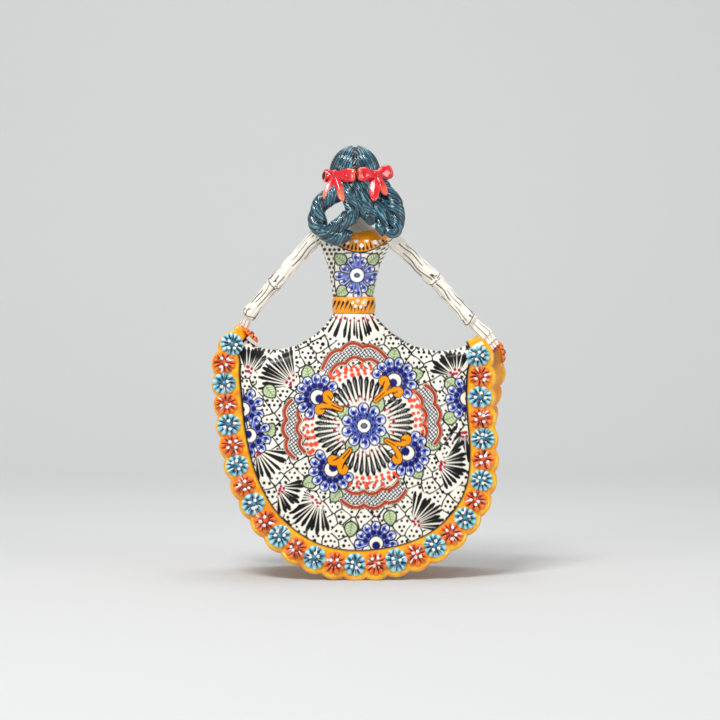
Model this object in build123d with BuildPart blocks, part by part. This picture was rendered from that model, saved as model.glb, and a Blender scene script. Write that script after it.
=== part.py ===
"""A glazed earthenware Catrina dancer who holds her wide skirt out by its two corners.

Millimetres, +Z up. She faces +Y, so her back and the back of the skirt face -Y.
The origin is on the surface she stands on, under the middle of her overall box.
The skirt is two luted shells that meet along the ridge in the plane y = 0 and part
towards the hem, so she stands on the lowest scallops of the back and the front ruffle.
"""
import math
import os

from build123d import *

os.makedirs("parts", exist_ok=True)

# Body line and levels
BODY_X = -4.5            # the body stands a little left of the middle of the skirt
WAIST_Z = 243            # top of the skirt, underside of the waist band
BAND_TOP_Z = 259         # top of the waist band, underside of the bodice
BODICE_TOP_Z = 312       # top of the bodice, underside of the shoulders

# Skirt
WALL = 5                 # thickness of the clay slabs
WAIST_HALF_X = 19
WAIST_HALF_Y = 16
BEND_RADIUS = 9          # rounding of the ridge where back and front panels meet
HEM_SPLAY = 46           # how much further the bottom of the hem stands out than its corners
HEM_SPLAY_POWER = 1.15   # above 1 keeps the splay small near the corners
HEM_FLARE = 0.26         # outward slope of the panels where they reach the hem
HEM_BACK = [(-109, 224), (-121, 212), (-125, 172), (-116, 113), (-89, 55), (-40, 19.2),
            (20, 14.8), (74, 33), (109, 75), (114.5, 130), (112, 170), (110, 205), (105, 216)]
HEM_FRONT = [(-109, 224), (-121, 212), (-125, 172), (-116, 113), (-89, 55), (-40, 19.2),
             (20, 14.8), (74, 33), (109, 75), (115, 130), (121, 175), (121, 205), (113, 216)]
FALL_DEPTH = 37          # how far the folds stand out a hand's width under the waist
FALL_POWER = 0.75        # below 1 keeps that fullness wide
BEND_SHARE = 0.04        # share of the waist that turns with the ridge's bend
ROWS = 8                 # steps from waist to ruffle
COLUMNS = 20             # steps round the hem

# Ruffle and its pressed flowers
FLOWERS = 29             # on each side, teal and orange in turn
FIRST_FLOWER = 14        # from the corner, along the hem
RUFFLE_LIFT = 3.5        # height of the ruffle's face over the panel
RUFFLE_THICK = 7
RUFFLE_IN = (15, 12)     # width inside the flower line, at the left and at the right corner
RUFFLE_OUT = (8, 11.5)   # width outside it, measured in the notches between scallops
RUFFLE_LOW = 2.2         # extra width at the bottom, where she stands
SCALLOP = 3.5            # depth of the scallops
SCALLOP_STEPS = 4
SLIP = 0.15              # thickness of the slip that the flowers and panels are luted with
FLOWER_RADIUS = 9.4
FLOWER_HEIGHT = 4.6
FLOWER_EDGE = 2.4
PETALS = 10
CORNER_LEFT = Plane(origin=(-102.4, 0, 222.8), x_dir=(0, 1, 0), z_dir=(0.7, 0, 0.7))
CORNER_RIGHT = Plane(origin=(132, 8, 206), x_dir=(0, 1, 0), z_dir=(1, 0, 0.2))

# Arms
SHOULDERS = (Vector(-37, 0, 318), Vector(29, 0, 313))
ELBOWS = (Vector(-80, 0, 270), Vector(71, 0, 274))
WRISTS = (Vector(-103, 0, 242), Vector(103, -2, 237))
KNUCKLES = (Vector(-108, 4, 231), Vector(119, -7, 222))
FINGERTIPS = (Vector(-111, 14, 218), Vector(127, -8, 208))
UPPER_ARM = (8.3, 6.8)   # radius of its ends and of its shaft
FOREARM = (7.8, 6.2)
BONE_BLUNT = 0.8         # radius of a bone's flat end, as a share of its end radius
ACROSS_HANDS = (Vector(-0.5, 0.86, 0), Vector(0.7, 0, 0.7))

# Head and hair
HEAD_X = -4.2
SKULL_Z = 371
SKULL_RADIUS = 22
SKULL_HALF_HEIGHT = 26
HAIR_RADIUS = 24.5
HAIR_Z = 373
HAIR_HALF_HEIGHT = 27    # the crown is the highest point, 400 above the ground
NAPE_Z = 353
FACE_OPENING = (60, 22, 32)  # block cut from the hair over the forehead and the face
PARTING = (1.6, 40, 2.4)     # groove along the crown
MOUTH = (15, 5, 0.9)         # slot between the rows of teeth
KNOT_RADIUS = 4.4
RIBBON = 2.4             # thickness of a ribbon tail

# Locks of hair: name, radius, and the middle line from inside the hair cap to the tip
HAIR_ROPES = (
    ("braid_left", 7, ((-15, -15, 366), (-23, -21.5, 354), (-34, -23, 347), (-39, -24, 336),
                       (-37.5, -25, 325), (-29, -26.5, 317), (-18, -27, 315), (-6, -27, 319))),
    ("lock_left", 5.2, ((-7, -19, 367), (-6.5, -25, 356), (-5.6, -26, 347), (-4, -27, 338),
                        (-12, -28.5, 331), (-22, -30, 326))),
    ("lock_centre", 5.2, ((3, -19, 367), (4.5, -25, 356), (7, -26.5, 345), (9.5, -27, 336),
                          (10.5, -28, 326))),
    ("lock_right", 5, ((10, -15, 362), (14, -21, 350), (18.5, -24, 338), (21.5, -26, 326),
                       (21.5, -27, 316))),
    ("braid_right", 6.8, ((14, -9, 366), (24, -16, 357), (31, -20, 348), (35, -22, 337),
                          (34.5, -24, 327), (30, -26, 319))),
)

# Bows: side, knot, loop ends with their half widths, tail tips with their widths
BOWS = (
    ("left", (-23, -19.5, 371.7), (((-35.7, -14, 371.2), 6.4), ((-4.5, -28.5, 371.4), 6.4)),
     (((-14.8, -32, 347), 8), ((-33.3, -30, 349.7), 6.5))),
    ("right", (15, -20, 371.7), (((29.2, -12, 375.5), 6), ((-0.5, -29, 372.6), 6.4)),
     (((13.1, -32.5, 348.5), 8), ((25.3, -26, 353), 6))),
)


def keep(piece, label):
    """Name a finished piece and write it."""
    piece.part.label = label
    export_step(piece.part, f"parts/{label}.step")
    return piece


def mix(a, b, share):
    return a + (b - a) * share


def to_side(point, side):
    """Back is side 1; front is side -1 and mirrored through the plane y = 0."""
    return Vector(point.X, point.Y * side, point.Z)


# ---------------------------------------------------------------- skirt
def hem_curve(points):
    with BuildLine(Plane.XZ) as line:
        Spline(*points)
    return line.edge()


def within(s):
    """Outside 0 to 1 the hem turns back along itself on the far side."""
    if s < 0:
        return -s
    return 2 - s if s > 1 else s


def hem_point(curve, s):
    inner = within(s)
    run = min(inner, 1 - inner) * curve.length
    bend = BEND_RADIUS * math.sin(math.acos(max(0.0, 1 - run / BEND_RADIUS)))
    depth = bend + HEM_SPLAY * math.sin(math.pi * inner) ** HEM_SPLAY_POWER
    flat = curve.position_at(inner)
    return Vector(flat.X, -depth if inner == s else depth, flat.Z)


def outward(curve, s):
    """Direction in which the panel's wall arrives at the hem."""
    inner = within(s)
    tangent = curve.tangent_at(inner)
    flare = HEM_FLARE * math.sin(math.pi * inner)
    return Vector(tangent.Z, -flare if inner == s else flare, -tangent.X).normalized()


def rib(curve, s, waist_share):
    """The line from the waist to the hem at s, as four Bezier points."""
    around = math.pi * waist_share
    waist = Vector(BODY_X - 0.8 - WAIST_HALF_X * math.cos(around),
                   -WAIST_HALF_Y * math.sin(around), WAIST_Z)
    fall = Vector(BODY_X - 42 * math.cos(around), -FALL_DEPTH * math.sin(around) ** FALL_POWER,
                  204 + 4 * math.cos(around) ** 2)
    out = outward(curve, s)
    edge = hem_point(curve, s) - out * (mix(*RUFFLE_IN, within(s)) + SLIP)
    reach = 26 + 12 * math.sin(math.pi * within(s))
    return waist, fall, edge - out * reach, edge


def bezier(points, t):
    a, b, c, d = points
    return a * (1 - t) ** 3 + b * 3 * t * (1 - t) ** 2 + c * 3 * t ** 2 * (1 - t) + d * t ** 3


def stations(curve):
    """Places round the hem, as (share of the hem, share of the waist), finer in the bends."""
    bend = BEND_RADIUS / curve.length
    left = []
    for angle in (0, 30, 60):
        turn = math.radians(angle)
        left.append((bend * (1 - math.cos(turn)), BEND_SHARE * turn / (math.pi / 2)))
    middle = [(mix(bend, 1 - bend, i / COLUMNS), mix(BEND_SHARE, 1 - BEND_SHARE, i / COLUMNS))
              for i in range(COLUMNS + 1)]
    right = [(1 - s, 1 - share) for s, share in reversed(left)]
    return left + middle + right


def thickened(rows, thickness):
    """The grid moved inwards along its normals, staying in the ridge and the waist planes."""
    last_row, last_col = len(rows) - 1, len(rows[0]) - 1
    moved = []
    for i, row in enumerate(rows):
        moved.append([])
        for j, point in enumerate(row):
            along = rows[min(i + 1, last_row)][j] - rows[max(i - 1, 0)][j]
            down = row[min(j + 1, last_col)] - row[max(j - 1, 0)]
            normal = along.cross(down)
            if i in (0, last_row):
                normal = Vector(normal.X, 0, normal.Z)
            if j == 0:
                normal = Vector(normal.X, normal.Y, 0)
            moved[-1].append(point + normal.normalized() * thickness)
    return moved


def closed_slab(outer, inner):
    """The solid between two faces whose edges run the same way round."""
    rims = [Face.make_surface_from_curves(a, b) for a, b in zip(outer.edges(), inner.edges())]
    return Solid(Shell(Face.sew_faces([outer, inner] + rims)[0]))


def skirt_panel(curve, side):
    """Half of the skirt, open along its curved edge and square along the ridge and the waist."""
    rows = [[bezier(rib(curve, s, share), i / ROWS) for i in range(ROWS + 1)]
            for s, share in stations(curve)]
    faces = [Face.make_surface_from_array_of_points(
        [[to_side(p, side) for p in points] for points in grid], tol=0.05, min_deg=3)
        for grid in (rows, thickened(rows, WALL))]
    with BuildPart() as panel:
        add(closed_slab(*faces))
    return panel


# ---------------------------------------------------------------- ruffle
def hem_frame(curve, s):
    """Centre of the ruffle at s, its outward direction and the direction its face looks."""
    step = 0.001
    along = hem_point(curve, s + step) - hem_point(curve, s - step)
    out = outward(curve, s)
    return hem_point(curve, s), out, out.cross(along).normalized()


def flower_share(curve, index):
    first = FIRST_FLOWER / curve.length
    return mix(first, 1 - first, index / (FLOWERS - 1))


def ruffle_edges(curve, lift):
    """The ruffle's inner edge and its scalloped outer edge, at a height over the panel."""
    first, pitch = flower_share(curve, 0), flower_share(curve, 1) - flower_share(curve, 0)
    bend = BEND_RADIUS / curve.length
    turned = [bend * (1 - math.cos(math.radians(a))) for a in (0, 30, 60)]
    steps = int(round((1 - 2 * bend) / pitch * SCALLOP_STEPS))
    shares = [-turned[1]] + turned + [mix(bend, 1 - bend, i / steps) for i in range(steps + 1)]
    shares += [1 - s for s in reversed(turned)] + [1 + turned[1]]
    inner_edge, outer_edge = [], []
    for s in shares:
        centre, out, face = hem_frame(curve, s)
        scallop = SCALLOP * abs(math.cos(math.pi * (s - first) / pitch)) ** 0.8
        width = mix(*RUFFLE_OUT, within(s)) + RUFFLE_LOW * math.sin(math.pi * within(s)) ** 4 + scallop
        inner_edge.append(centre + face * lift - out * mix(*RUFFLE_IN, within(s)))
        outer_edge.append(centre + face * lift + out * width)
    return inner_edge, outer_edge


def hem_ruffle(curve, side):
    """A flat scalloped strip round the hem, ground flat where it stands."""
    faces = []
    for lift in (RUFFLE_LIFT, RUFFLE_LIFT - RUFFLE_THICK):
        edges = [Spline(*(to_side(p, side) for p in edge)) for edge in ruffle_edges(curve, lift)]
        faces.append(Face.make_surface_from_curves(*(edge.edge() for edge in edges)))
    with BuildPart() as ruffle:
        add(closed_slab(*faces))
        split(bisect_by=Plane.XZ, keep=Keep.TOP if side > 0 else Keep.BOTTOM)
        split(bisect_by=Plane.XY, keep=Keep.TOP)
    return ruffle


# ---------------------------------------------------------------- flowers
def hem_flower_plane(curve, side, index):
    """Where a pressed flower sits: on the face of the ruffle, on a thin bed of slip."""
    centre, out, face = hem_frame(curve, flower_share(curve, index))
    origin = centre + face * (RUFFLE_LIFT + SLIP)
    return Plane(origin=to_side(origin, side), x_dir=to_side(out, side), z_dir=to_side(face, side))


def flower_sprig():
    """One domed rosette of ten petals with a button, on its own plane."""
    dome = (FLOWER_RADIUS ** 2 + (FLOWER_HEIGHT - FLOWER_EDGE) ** 2) / (2 * (FLOWER_HEIGHT - FLOWER_EDGE))
    petal = FLOWER_RADIUS / 3
    with BuildPart() as sprig:
        with BuildSketch():
            Circle(FLOWER_RADIUS - petal)
            with PolarLocations(FLOWER_RADIUS - petal, PETALS):
                Circle(petal)
        extrude(amount=FLOWER_HEIGHT)
        with Locations((0, 0, FLOWER_HEIGHT - dome)):
            Sphere(dome, mode=Mode.INTERSECT)
        with Locations((0, 0, FLOWER_HEIGHT - 0.4)):
            Sphere(FLOWER_RADIUS / 4)
    return sprig


def flowers_on(planes, sprig):
    with BuildPart() as group:
        with Locations(*planes):
            add(sprig.part)
    return group


# ---------------------------------------------------------------- body
def lofted_body(levels, shrink=0.0):
    """A loft through ellipses given as (z, x, half width, half depth)."""
    with BuildPart() as body:
        for z, x, half_x, half_y in levels:
            with BuildSketch(Plane(origin=(x, 0, z))):
                Ellipse(half_x - shrink, half_y - shrink)
        loft()
    return body


def spheroid(x, y, z, radius, half_height):
    """A solid of revolution about the vertical, elliptical in section."""
    upright = Plane(origin=(x, y, z), x_dir=(1, 0, 0), z_dir=(0, -1, 0))
    with BuildPart() as ball:
        with BuildSketch(upright):
            Ellipse(radius, half_height)
            with Locations((-radius, 0)):
                Rectangle(2 * radius, 2 * half_height, mode=Mode.SUBTRACT)
        revolve(axis=Axis((x, y, z), (0, 0, 1)))
    return ball


def waist_ring():
    with BuildPart() as ring:
        with BuildSketch(Plane(origin=(BODY_X - 0.8, 0, WAIST_Z))):
            Ellipse(WAIST_HALF_X + 1, WAIST_HALF_Y + 1)
            Ellipse(WAIST_HALF_X - WALL - 1, WAIST_HALF_Y - WALL - 1, mode=Mode.SUBTRACT)
        extrude(amount=BAND_TOP_Z - WAIST_Z)
        fillet(ring.edges().filter_by(GeomType.ELLIPSE).sort_by(SortBy.LENGTH)[-2:], 2.5)
    return ring


def bodice_shell():
    levels = [(BAND_TOP_Z, -6, 19, 15), (274, -5.6, 21.5, 16.5), (290, -5.2, 25.5, 18.5),
              (303, -4.4, 31, 20), (BODICE_TOP_Z, -3.8, 33, 19)]
    hollow = lofted_body(levels[:-1] + [(BODICE_TOP_Z - WALL, -4, 32, 19.5)], WALL)
    shell = lofted_body(levels)
    with BuildPart() as body:
        add(shell.part)
        add(hollow.part, mode=Mode.SUBTRACT)
    return body


def shoulders_and_neck():
    return lofted_body([(BODICE_TOP_Z, -3.8, 32, 18), (319, -3.9, 25, 14.5), (326, -4, 13, 11),
                        (334, -4.1, 9.5, 9.5), (352, -4.2, 9, 9)])


def skull_with_face(neck):
    """Cranium, cheeks and jaw, with eye sockets, nose opening and a line of teeth."""
    cranium = spheroid(HEAD_X, 0, SKULL_Z, SKULL_RADIUS, SKULL_HALF_HEIGHT)
    jaw = spheroid(HEAD_X, 8, SKULL_Z - 19, 13, 13)
    with BuildPart() as skull:
        add(cranium.part)
        add(jaw.part)
        with Locations((HEAD_X - 8.5, 20.5, SKULL_Z), (HEAD_X + 8.5, 20.5, SKULL_Z)):
            Sphere(5.5, mode=Mode.SUBTRACT)
        with Locations((HEAD_X - 1.6, 22, SKULL_Z - 9), (HEAD_X + 1.6, 22, SKULL_Z - 9)):
            Sphere(2.6, mode=Mode.SUBTRACT)
        with Locations((HEAD_X, 22, SKULL_Z - 19)):
            Box(*MOUTH, mode=Mode.SUBTRACT)
        add(neck.part, mode=Mode.SUBTRACT)
    return skull


def hair_over(skull, neck):
    """A combed cap with a middle parting, open over the face and cut off at the nape."""
    dome = spheroid(HEAD_X, 0, HAIR_Z, HAIR_RADIUS, HAIR_HALF_HEIGHT)
    with BuildPart() as hair:
        add(dome.part)
        split(bisect_by=Plane.XY.offset(NAPE_Z), keep=Keep.TOP)
        with Locations((HEAD_X, 23, HAIR_Z - 4)):
            Box(*FACE_OPENING, mode=Mode.SUBTRACT)
        with Locations((HEAD_X, -6, HAIR_Z + HAIR_HALF_HEIGHT)):
            Box(*PARTING, mode=Mode.SUBTRACT)
        add(skull.part, mode=Mode.SUBTRACT)
        add(neck.part, mode=Mode.SUBTRACT)
    return hair


# ---------------------------------------------------------------- arms
def bone(start, end, knob, shaft, cuts):
    """A turned bone: a knob at each end and a thinner shaft, cut clear of its neighbours."""
    run = end - start
    length = run.length
    side_plane = Plane(origin=start, x_dir=run.normalized(), z_dir=(0, 1, 0))
    with BuildPart() as piece:
        with BuildSketch(side_plane):
            with BuildLine():
                profile = [(0, 0), (0, knob * BONE_BLUNT), (knob * 0.6, knob), (length * 0.3, shaft),
                           (length * 0.7, shaft), (length - knob * 0.6, knob),
                           (length, knob * BONE_BLUNT), (length, 0)]
                Line(profile[0], profile[1])
                Spline(*profile[1:-1])
                Line(profile[-2], profile[-1])
                Line(profile[-1], profile[0])
            make_face()
        revolve(axis=Axis(start, run))
        for neighbour in cuts:
            add(neighbour.part, mode=Mode.SUBTRACT)
    return piece


def finger(root, tip, radius):
    run = tip - root
    frame = Plane(origin=root, z_dir=run)
    with BuildPart() as piece:
        with BuildSketch(frame):
            Circle(radius)
        with BuildSketch(frame.offset(run.length * 0.55)):
            Circle(radius * 0.95)
        with BuildSketch(frame.offset(run.length)):
            Circle(radius * 0.6)
        loft()
        with Locations(root):
            Sphere(radius)
    return piece


def hand(which, cuts):
    """A skeleton hand: a flat palm and four fingers and a thumb that grip the hem."""
    wrist, knuckles, tips = WRISTS[which], KNUCKLES[which], FINGERTIPS[which]
    spread = ACROSS_HANDS[which].normalized()
    run = knuckles - wrist
    palm_plane = Plane(origin=wrist, x_dir=spread, z_dir=run)
    with BuildPart() as piece:
        with BuildSketch(palm_plane):
            Ellipse(4.6, 4)
        with BuildSketch(palm_plane.offset(run.length)):
            Ellipse(7, 3.8)
        loft()
        for place in (-1.5, -0.5, 0.5, 1.5):
            root = knuckles + spread * (place * 3.4)
            tip = tips + spread * (place * 3.1)
            add(finger(root, tip, 1.9).part)
        thumb_root = mix(wrist, knuckles, 0.4) + spread * 5
        add(finger(thumb_root, mix(knuckles, tips, 0.3) + spread * 9, 2).part)
        for neighbour in cuts:
            add(neighbour.part, mode=Mode.SUBTRACT)
    return piece


# ---------------------------------------------------------------- hair pieces and bows
def rope(points, radius, cuts):
    """A lock of hair: a round rope through the points with rounded ends."""
    points = [Vector(*point) for point in points]
    with BuildPart() as piece:
        with BuildLine() as path:
            FilletPolyline(*points, radius=radius * 1.2)
        with BuildSketch(Plane(origin=path.line @ 0, z_dir=path.line % 0)):
            Circle(radius)
        sweep(path=path.line)
        with Locations(points[-1]):
            Sphere(radius)
        for neighbour in cuts:
            add(neighbour.part, mode=Mode.SUBTRACT)
    return piece


def ribbon_loop(knot, end, half_width):
    """A flattened loop of ribbon that swells from the knot and narrows again to its fold."""
    run = end - knot
    frame = Plane(origin=knot, x_dir=(0, 1, 0), z_dir=run)
    with BuildPart() as loop:
        with BuildSketch(frame):
            Ellipse(2.6, 2.6)
        with BuildSketch(frame.offset(run.length * 0.65)):
            Ellipse(3.6, half_width)
        with BuildSketch(frame.offset(run.length)):
            Ellipse(2.4, half_width * 0.7)
        loft()
    return loop


def ribbon_tail(knot, tip, width):
    """A flat tail that widens below the knot and comes to a point."""
    run = tip - knot
    flat = Plane(origin=knot, x_dir=run, z_dir=run.cross(Vector(0, -1, 0)).cross(run))
    with BuildPart() as strip:
        with BuildSketch(flat):
            with BuildLine():
                Polyline((0, 1.6), (run.length * 0.6, width / 2), (run.length, 0),
                         (run.length * 0.6, -width / 2), (0, -1.6), close=True)
            make_face()
        extrude(amount=RIBBON / 2, both=True)
    return strip


def joined(pieces, cuts):
    """Several raw shapes as one piece of clay, cut clear of the pieces it is luted to."""
    with BuildPart() as whole:
        for piece in pieces:
            add(piece.part)
        for neighbour in cuts:
            add(neighbour.part, mode=Mode.SUBTRACT)
    return whole


def bow(knot, loop_ends, tail_tips, cuts):
    """A knot, its pair of loops and its pair of tails, as three pieces."""
    knot = Vector(*knot)
    with BuildPart() as ball:
        with Locations(knot):
            Sphere(KNOT_RADIUS)
        for neighbour in cuts:
            add(neighbour.part, mode=Mode.SUBTRACT)
    loops = joined([ribbon_loop(knot, Vector(*end), half) for end, half in loop_ends], cuts + [ball])
    tails = joined([ribbon_tail(knot, Vector(*tip), width) for tip, width in tail_tips],
                   cuts + [ball, loops])
    return ball, loops, tails


# ---------------------------------------------------------------- the pieces
hem_back = hem_curve(HEM_BACK)
hem_front = hem_curve(HEM_FRONT)
skirt_back = keep(skirt_panel(hem_back, 1), "skirt_back_shell")
skirt_front = keep(skirt_panel(hem_front, -1), "skirt_front_shell")
ruffle_back = keep(hem_ruffle(hem_back, 1), "hem_ruffle_back")
ruffle_front = keep(hem_ruffle(hem_front, -1), "hem_ruffle_front")
skirt_pieces = [skirt_back, skirt_front, ruffle_back, ruffle_front]

sprig = flower_sprig()
colours = ("teal", "orange")
back_flowers = []
for index in range(FLOWERS):
    flower = flowers_on([hem_flower_plane(hem_back, 1, index)], sprig)
    back_flowers.append(keep(flower, f"back_flower_{index + 1:02d}_{colours[index % 2]}"))
for first, colour in enumerate(colours):
    planes = [hem_flower_plane(hem_front, -1, index) for index in range(first, FLOWERS, 2)]
    keep(flowers_on(planes, sprig), f"front_flowers_{colour}")
corner_flowers = []
for side, plane in (("left", CORNER_LEFT), ("right", CORNER_RIGHT)):
    corner_flowers.append(keep(flowers_on([plane], sprig), f"corner_flower_{side}"))

waist = keep(waist_ring(), "waist_band")
bodice = keep(bodice_shell(), "bodice")
neck = keep(shoulders_and_neck(), "neck_and_shoulders")
skull = keep(skull_with_face(neck), "skull")
hair = keep(hair_over(skull, neck), "hair_cap")

for which, side in enumerate(("left", "right")):
    upper = bone(SHOULDERS[which], ELBOWS[which], *UPPER_ARM, [bodice, neck])
    fore = bone(ELBOWS[which], WRISTS[which], *FOREARM, [upper] + skirt_pieces)
    grip_cuts = [fore] + skirt_pieces + corner_flowers + back_flowers[:2] + back_flowers[-2:]
    keep(upper, f"{side}_upper_arm")
    keep(fore, f"{side}_forearm")
    keep(hand(which, grip_cuts), f"{side}_hand")

head_pieces = [hair, skull, neck, bodice]
for label, radius, points in HAIR_ROPES:
    head_pieces.append(keep(rope(points, radius, head_pieces), label))
for side, knot, loop_ends, tail_tips in BOWS:
    for piece, label in zip(bow(knot, loop_ends, tail_tips, head_pieces), ("knot", "loops", "tails")):
        head_pieces.append(keep(piece, f"{side}_bow_{label}"))
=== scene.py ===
"""The looks of a glazed earthenware Catrina dancer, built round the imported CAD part.

Metres, +Z up. Her back faces -Y. Lengths in the tables and the geometry code are millimetres, and
every mesh is scaled by MM when it is made. Paint is laid on the vertices of dense meshes, as a
brush would lay it, and the glaze materials read it back from the "paint" attribute.
"""
import math

import bpy
import numpy as np
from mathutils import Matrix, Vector


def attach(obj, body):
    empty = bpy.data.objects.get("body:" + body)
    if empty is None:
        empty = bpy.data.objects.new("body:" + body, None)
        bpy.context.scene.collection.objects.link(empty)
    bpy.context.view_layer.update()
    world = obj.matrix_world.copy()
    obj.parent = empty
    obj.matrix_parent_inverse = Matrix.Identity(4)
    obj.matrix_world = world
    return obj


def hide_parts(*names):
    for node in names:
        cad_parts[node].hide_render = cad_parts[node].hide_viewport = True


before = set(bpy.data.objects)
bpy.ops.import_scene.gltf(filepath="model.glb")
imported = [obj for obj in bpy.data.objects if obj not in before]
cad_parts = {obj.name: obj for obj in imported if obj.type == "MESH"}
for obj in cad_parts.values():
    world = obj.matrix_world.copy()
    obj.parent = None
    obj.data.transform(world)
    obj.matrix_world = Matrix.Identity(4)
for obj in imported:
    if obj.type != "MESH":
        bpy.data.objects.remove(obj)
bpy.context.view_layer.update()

MM = 0.001
PI = math.pi

# Skirt, as in the CAD
BODY_X, WAIST_Z, BAND_TOP_Z, BODICE_TOP_Z = -4.5, 243, 259, 312
WALL, WAIST_HALF_X, WAIST_HALF_Y = 5, 19, 16
BEND_RADIUS, HEM_SPLAY, HEM_SPLAY_POWER, HEM_FLARE = 9, 46, 1.15, 0.26
FALL_POWER, BEND_SHARE, SLIP = 0.75, 0.04, 0.15
FALL_HALF_X, FALL_HALF_Y, FALL_Z, FALL_RISE, BELLY, BELLY_SWELL = 42, 37, 204, 4, 26, 12
WAIST_SHIFT = 0.8
HEM_BACK = [(-109, 224), (-121, 212), (-125, 172), (-116, 113), (-89, 55), (-40, 19.2),
            (20, 14.8), (74, 33), (109, 75), (114.5, 130), (112, 170), (110, 205), (105, 216)]
HEM_FRONT = HEM_BACK[:9] + [(115, 130), (121, 175), (121, 205), (113, 216)]
FLOWERS, FIRST_FLOWER = 29, 14
MEDALLION = (4.2, 140.6)
RUFFLE_LIFT, RUFFLE_THICK, RUFFLE_IN = 3.5, 7, (15, 12)
RUFFLE_OUT, RUFFLE_LOW, SCALLOP = (8, 11.5), 2.2, 3.5
# In the looks only: the ruffle narrows inside the flower line to this width, this near its corners
RUFFLE_CORNER, CORNER_TAPER = 5, 34

# Head and arms, as in the CAD
HEAD_X, SKULL_Z, HAIR_Z, NAPE_Z = -4.2, 371, 373, 353
HAIR_RADIUS, HAIR_HALF_HEIGHT = 24.5, 27
SHOULDERS = ((-37, 0, 318), (29, 0, 313))
ELBOWS = ((-80, 0, 270), (71, 0, 274))
WRISTS = ((-103, 0, 242), (103, -2, 237))
KNUCKLES = ((-108, 4, 231), (119, -7, 222))
FINGERTIPS = ((-111, 14, 218), (127, -8, 208))
ACROSS_HANDS = ((-0.5, 0.86, 0), (0.7, 0, 0.7))
FINGER_RADIUS, EYE_X = 2.0, 8.3


def ink(red, green, blue):
    """An sRGB colour as the linear values that shaders use."""
    c = np.array((red, green, blue)) / 255
    return np.where(c < 0.04045, c / 12.92, ((c + 0.055) / 1.055) ** 2.4)


CREAM, WHITE, BLACK, GREY = ink(248, 241, 227), ink(252, 251, 249), ink(14, 14, 16), ink(120, 122, 120)
COBALT, NAVY, WASH, PALE_BLUE = ink(18, 18, 112), ink(16, 18, 52), ink(98, 114, 204), ink(200, 208, 240)
LEAF, VEIN, LEAF_DARK = ink(200, 214, 172), ink(128, 148, 92), ink(38, 46, 34)
SCROLL, TERRACOTTA, DOT_RED, CRIMSON = ink(255, 150, 10), ink(172, 60, 24), ink(238, 82, 52), ink(165, 32, 58)
YELLOW, AMBER, TEAL, TEAL_HIGHLIGHT = ink(255, 184, 18), ink(236, 132, 6), ink(44, 158, 196), ink(176, 240, 250)
TEAL_DARK, ORANGE, RUST, ORANGE_HIGHLIGHT = ink(12, 46, 66), ink(255, 100, 6), ink(128, 22, 4), ink(255, 136, 40)
HAIR, HAIR_HIGHLIGHT, HAIR_DARK = ink(26, 76, 94), ink(112, 178, 190), ink(4, 14, 20)
RED, SALMON, RED_DARK = ink(222, 12, 34), ink(255, 128, 98), ink(100, 4, 12)
BAND, BONE, BONE_WARM = ink(255, 158, 6), ink(246, 238, 224), ink(224, 204, 176)
BARE_CLAY, SPECK = ink(196, 128, 92), ink(112, 66, 40)


# ---------------------------------------------------------------- number helpers
def unit(v):
    """The vectors along the last axis at length 1."""
    return v / np.maximum(np.linalg.norm(v, axis=-1, keepdims=True), 1e-9)


def mix(a, b, share):
    """What lies this share of the way from a to b."""
    return a + (b - a) * share


def tint(paint, colour, share):
    """Paint with a share of another colour at each point."""
    return mix(paint, colour, share[..., None])


def smooth(low, high, x):
    """An even rise from 0 at low to 1 at high."""
    t = np.clip((x - low) / (high - low), 0, 1)
    return t * t * (3 - 2 * t)


def full_turn(count):
    """Angles spaced evenly once round."""
    return np.linspace(0, 2 * PI, count, endpoint=False)


def ripple(points, size, seed):
    """Soft unevenness of about 1 either way, with features about as wide as size."""
    waves = 7
    rng = np.random.default_rng(seed)
    total = np.zeros(points.shape[:-1])
    for _ in range(waves):
        direction = unit(rng.normal(size=3)) * 2 * PI / (size * rng.uniform(1.2, 2.6))
        total += np.sin(points @ direction + rng.uniform(0, 2 * PI))
    return total / math.sqrt(waves)


def natural_spline(knots, values, at):
    """A cubic through the values with free ends, evaluated at the given places."""
    n = len(knots)
    step = np.diff(knots)
    matrix, right = np.eye(n), np.zeros(n)
    for i in range(1, n - 1):
        matrix[i, i - 1:i + 2] = step[i - 1], 2 * (step[i - 1] + step[i]), step[i]
        right[i] = 6 * ((values[i + 1] - values[i]) / step[i] - (values[i] - values[i - 1]) / step[i - 1])
    curve = np.linalg.solve(matrix, right)
    i = np.clip(np.searchsorted(knots, at) - 1, 0, n - 2)
    a, b, h = knots[i + 1] - at, at - knots[i], step[i]
    return (curve[i] * a ** 3 + curve[i + 1] * b ** 3) / (6 * h) + \
        (values[i] / h - curve[i] * h / 6) * a + (values[i + 1] / h - curve[i + 1] * h / 6) * b


def run_along(points):
    """Length of the line through the points, from its start to each of them."""
    return np.concatenate([[0], np.cumsum(np.linalg.norm(np.diff(points, axis=0), axis=1))])


def path_through(points, count):
    """A smooth line through the points, sampled evenly, and its length."""
    points = np.array(points, float)
    chord = run_along(points)
    fine = np.linspace(0, chord[-1], 1500)
    line = np.stack([natural_spline(chord, points[:, k], fine) for k in range(points.shape[1])], -1)
    run = run_along(line)
    even = np.linspace(0, run[-1], count)
    return np.stack([np.interp(even, run, line[:, k]) for k in range(points.shape[1])], -1), run[-1]


def carried_frames(line, side):
    """Tangent, normal and binormal along a line, turning as little as they can."""
    tangent = unit(np.gradient(line, axis=0))
    normal = np.zeros_like(line)
    current = np.array(side, float)
    for i, t in enumerate(tangent):
        current = current - t * (current @ t)
        current = current / np.linalg.norm(current)
        normal[i] = current
    return tangent, normal, np.cross(tangent, normal)


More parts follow.
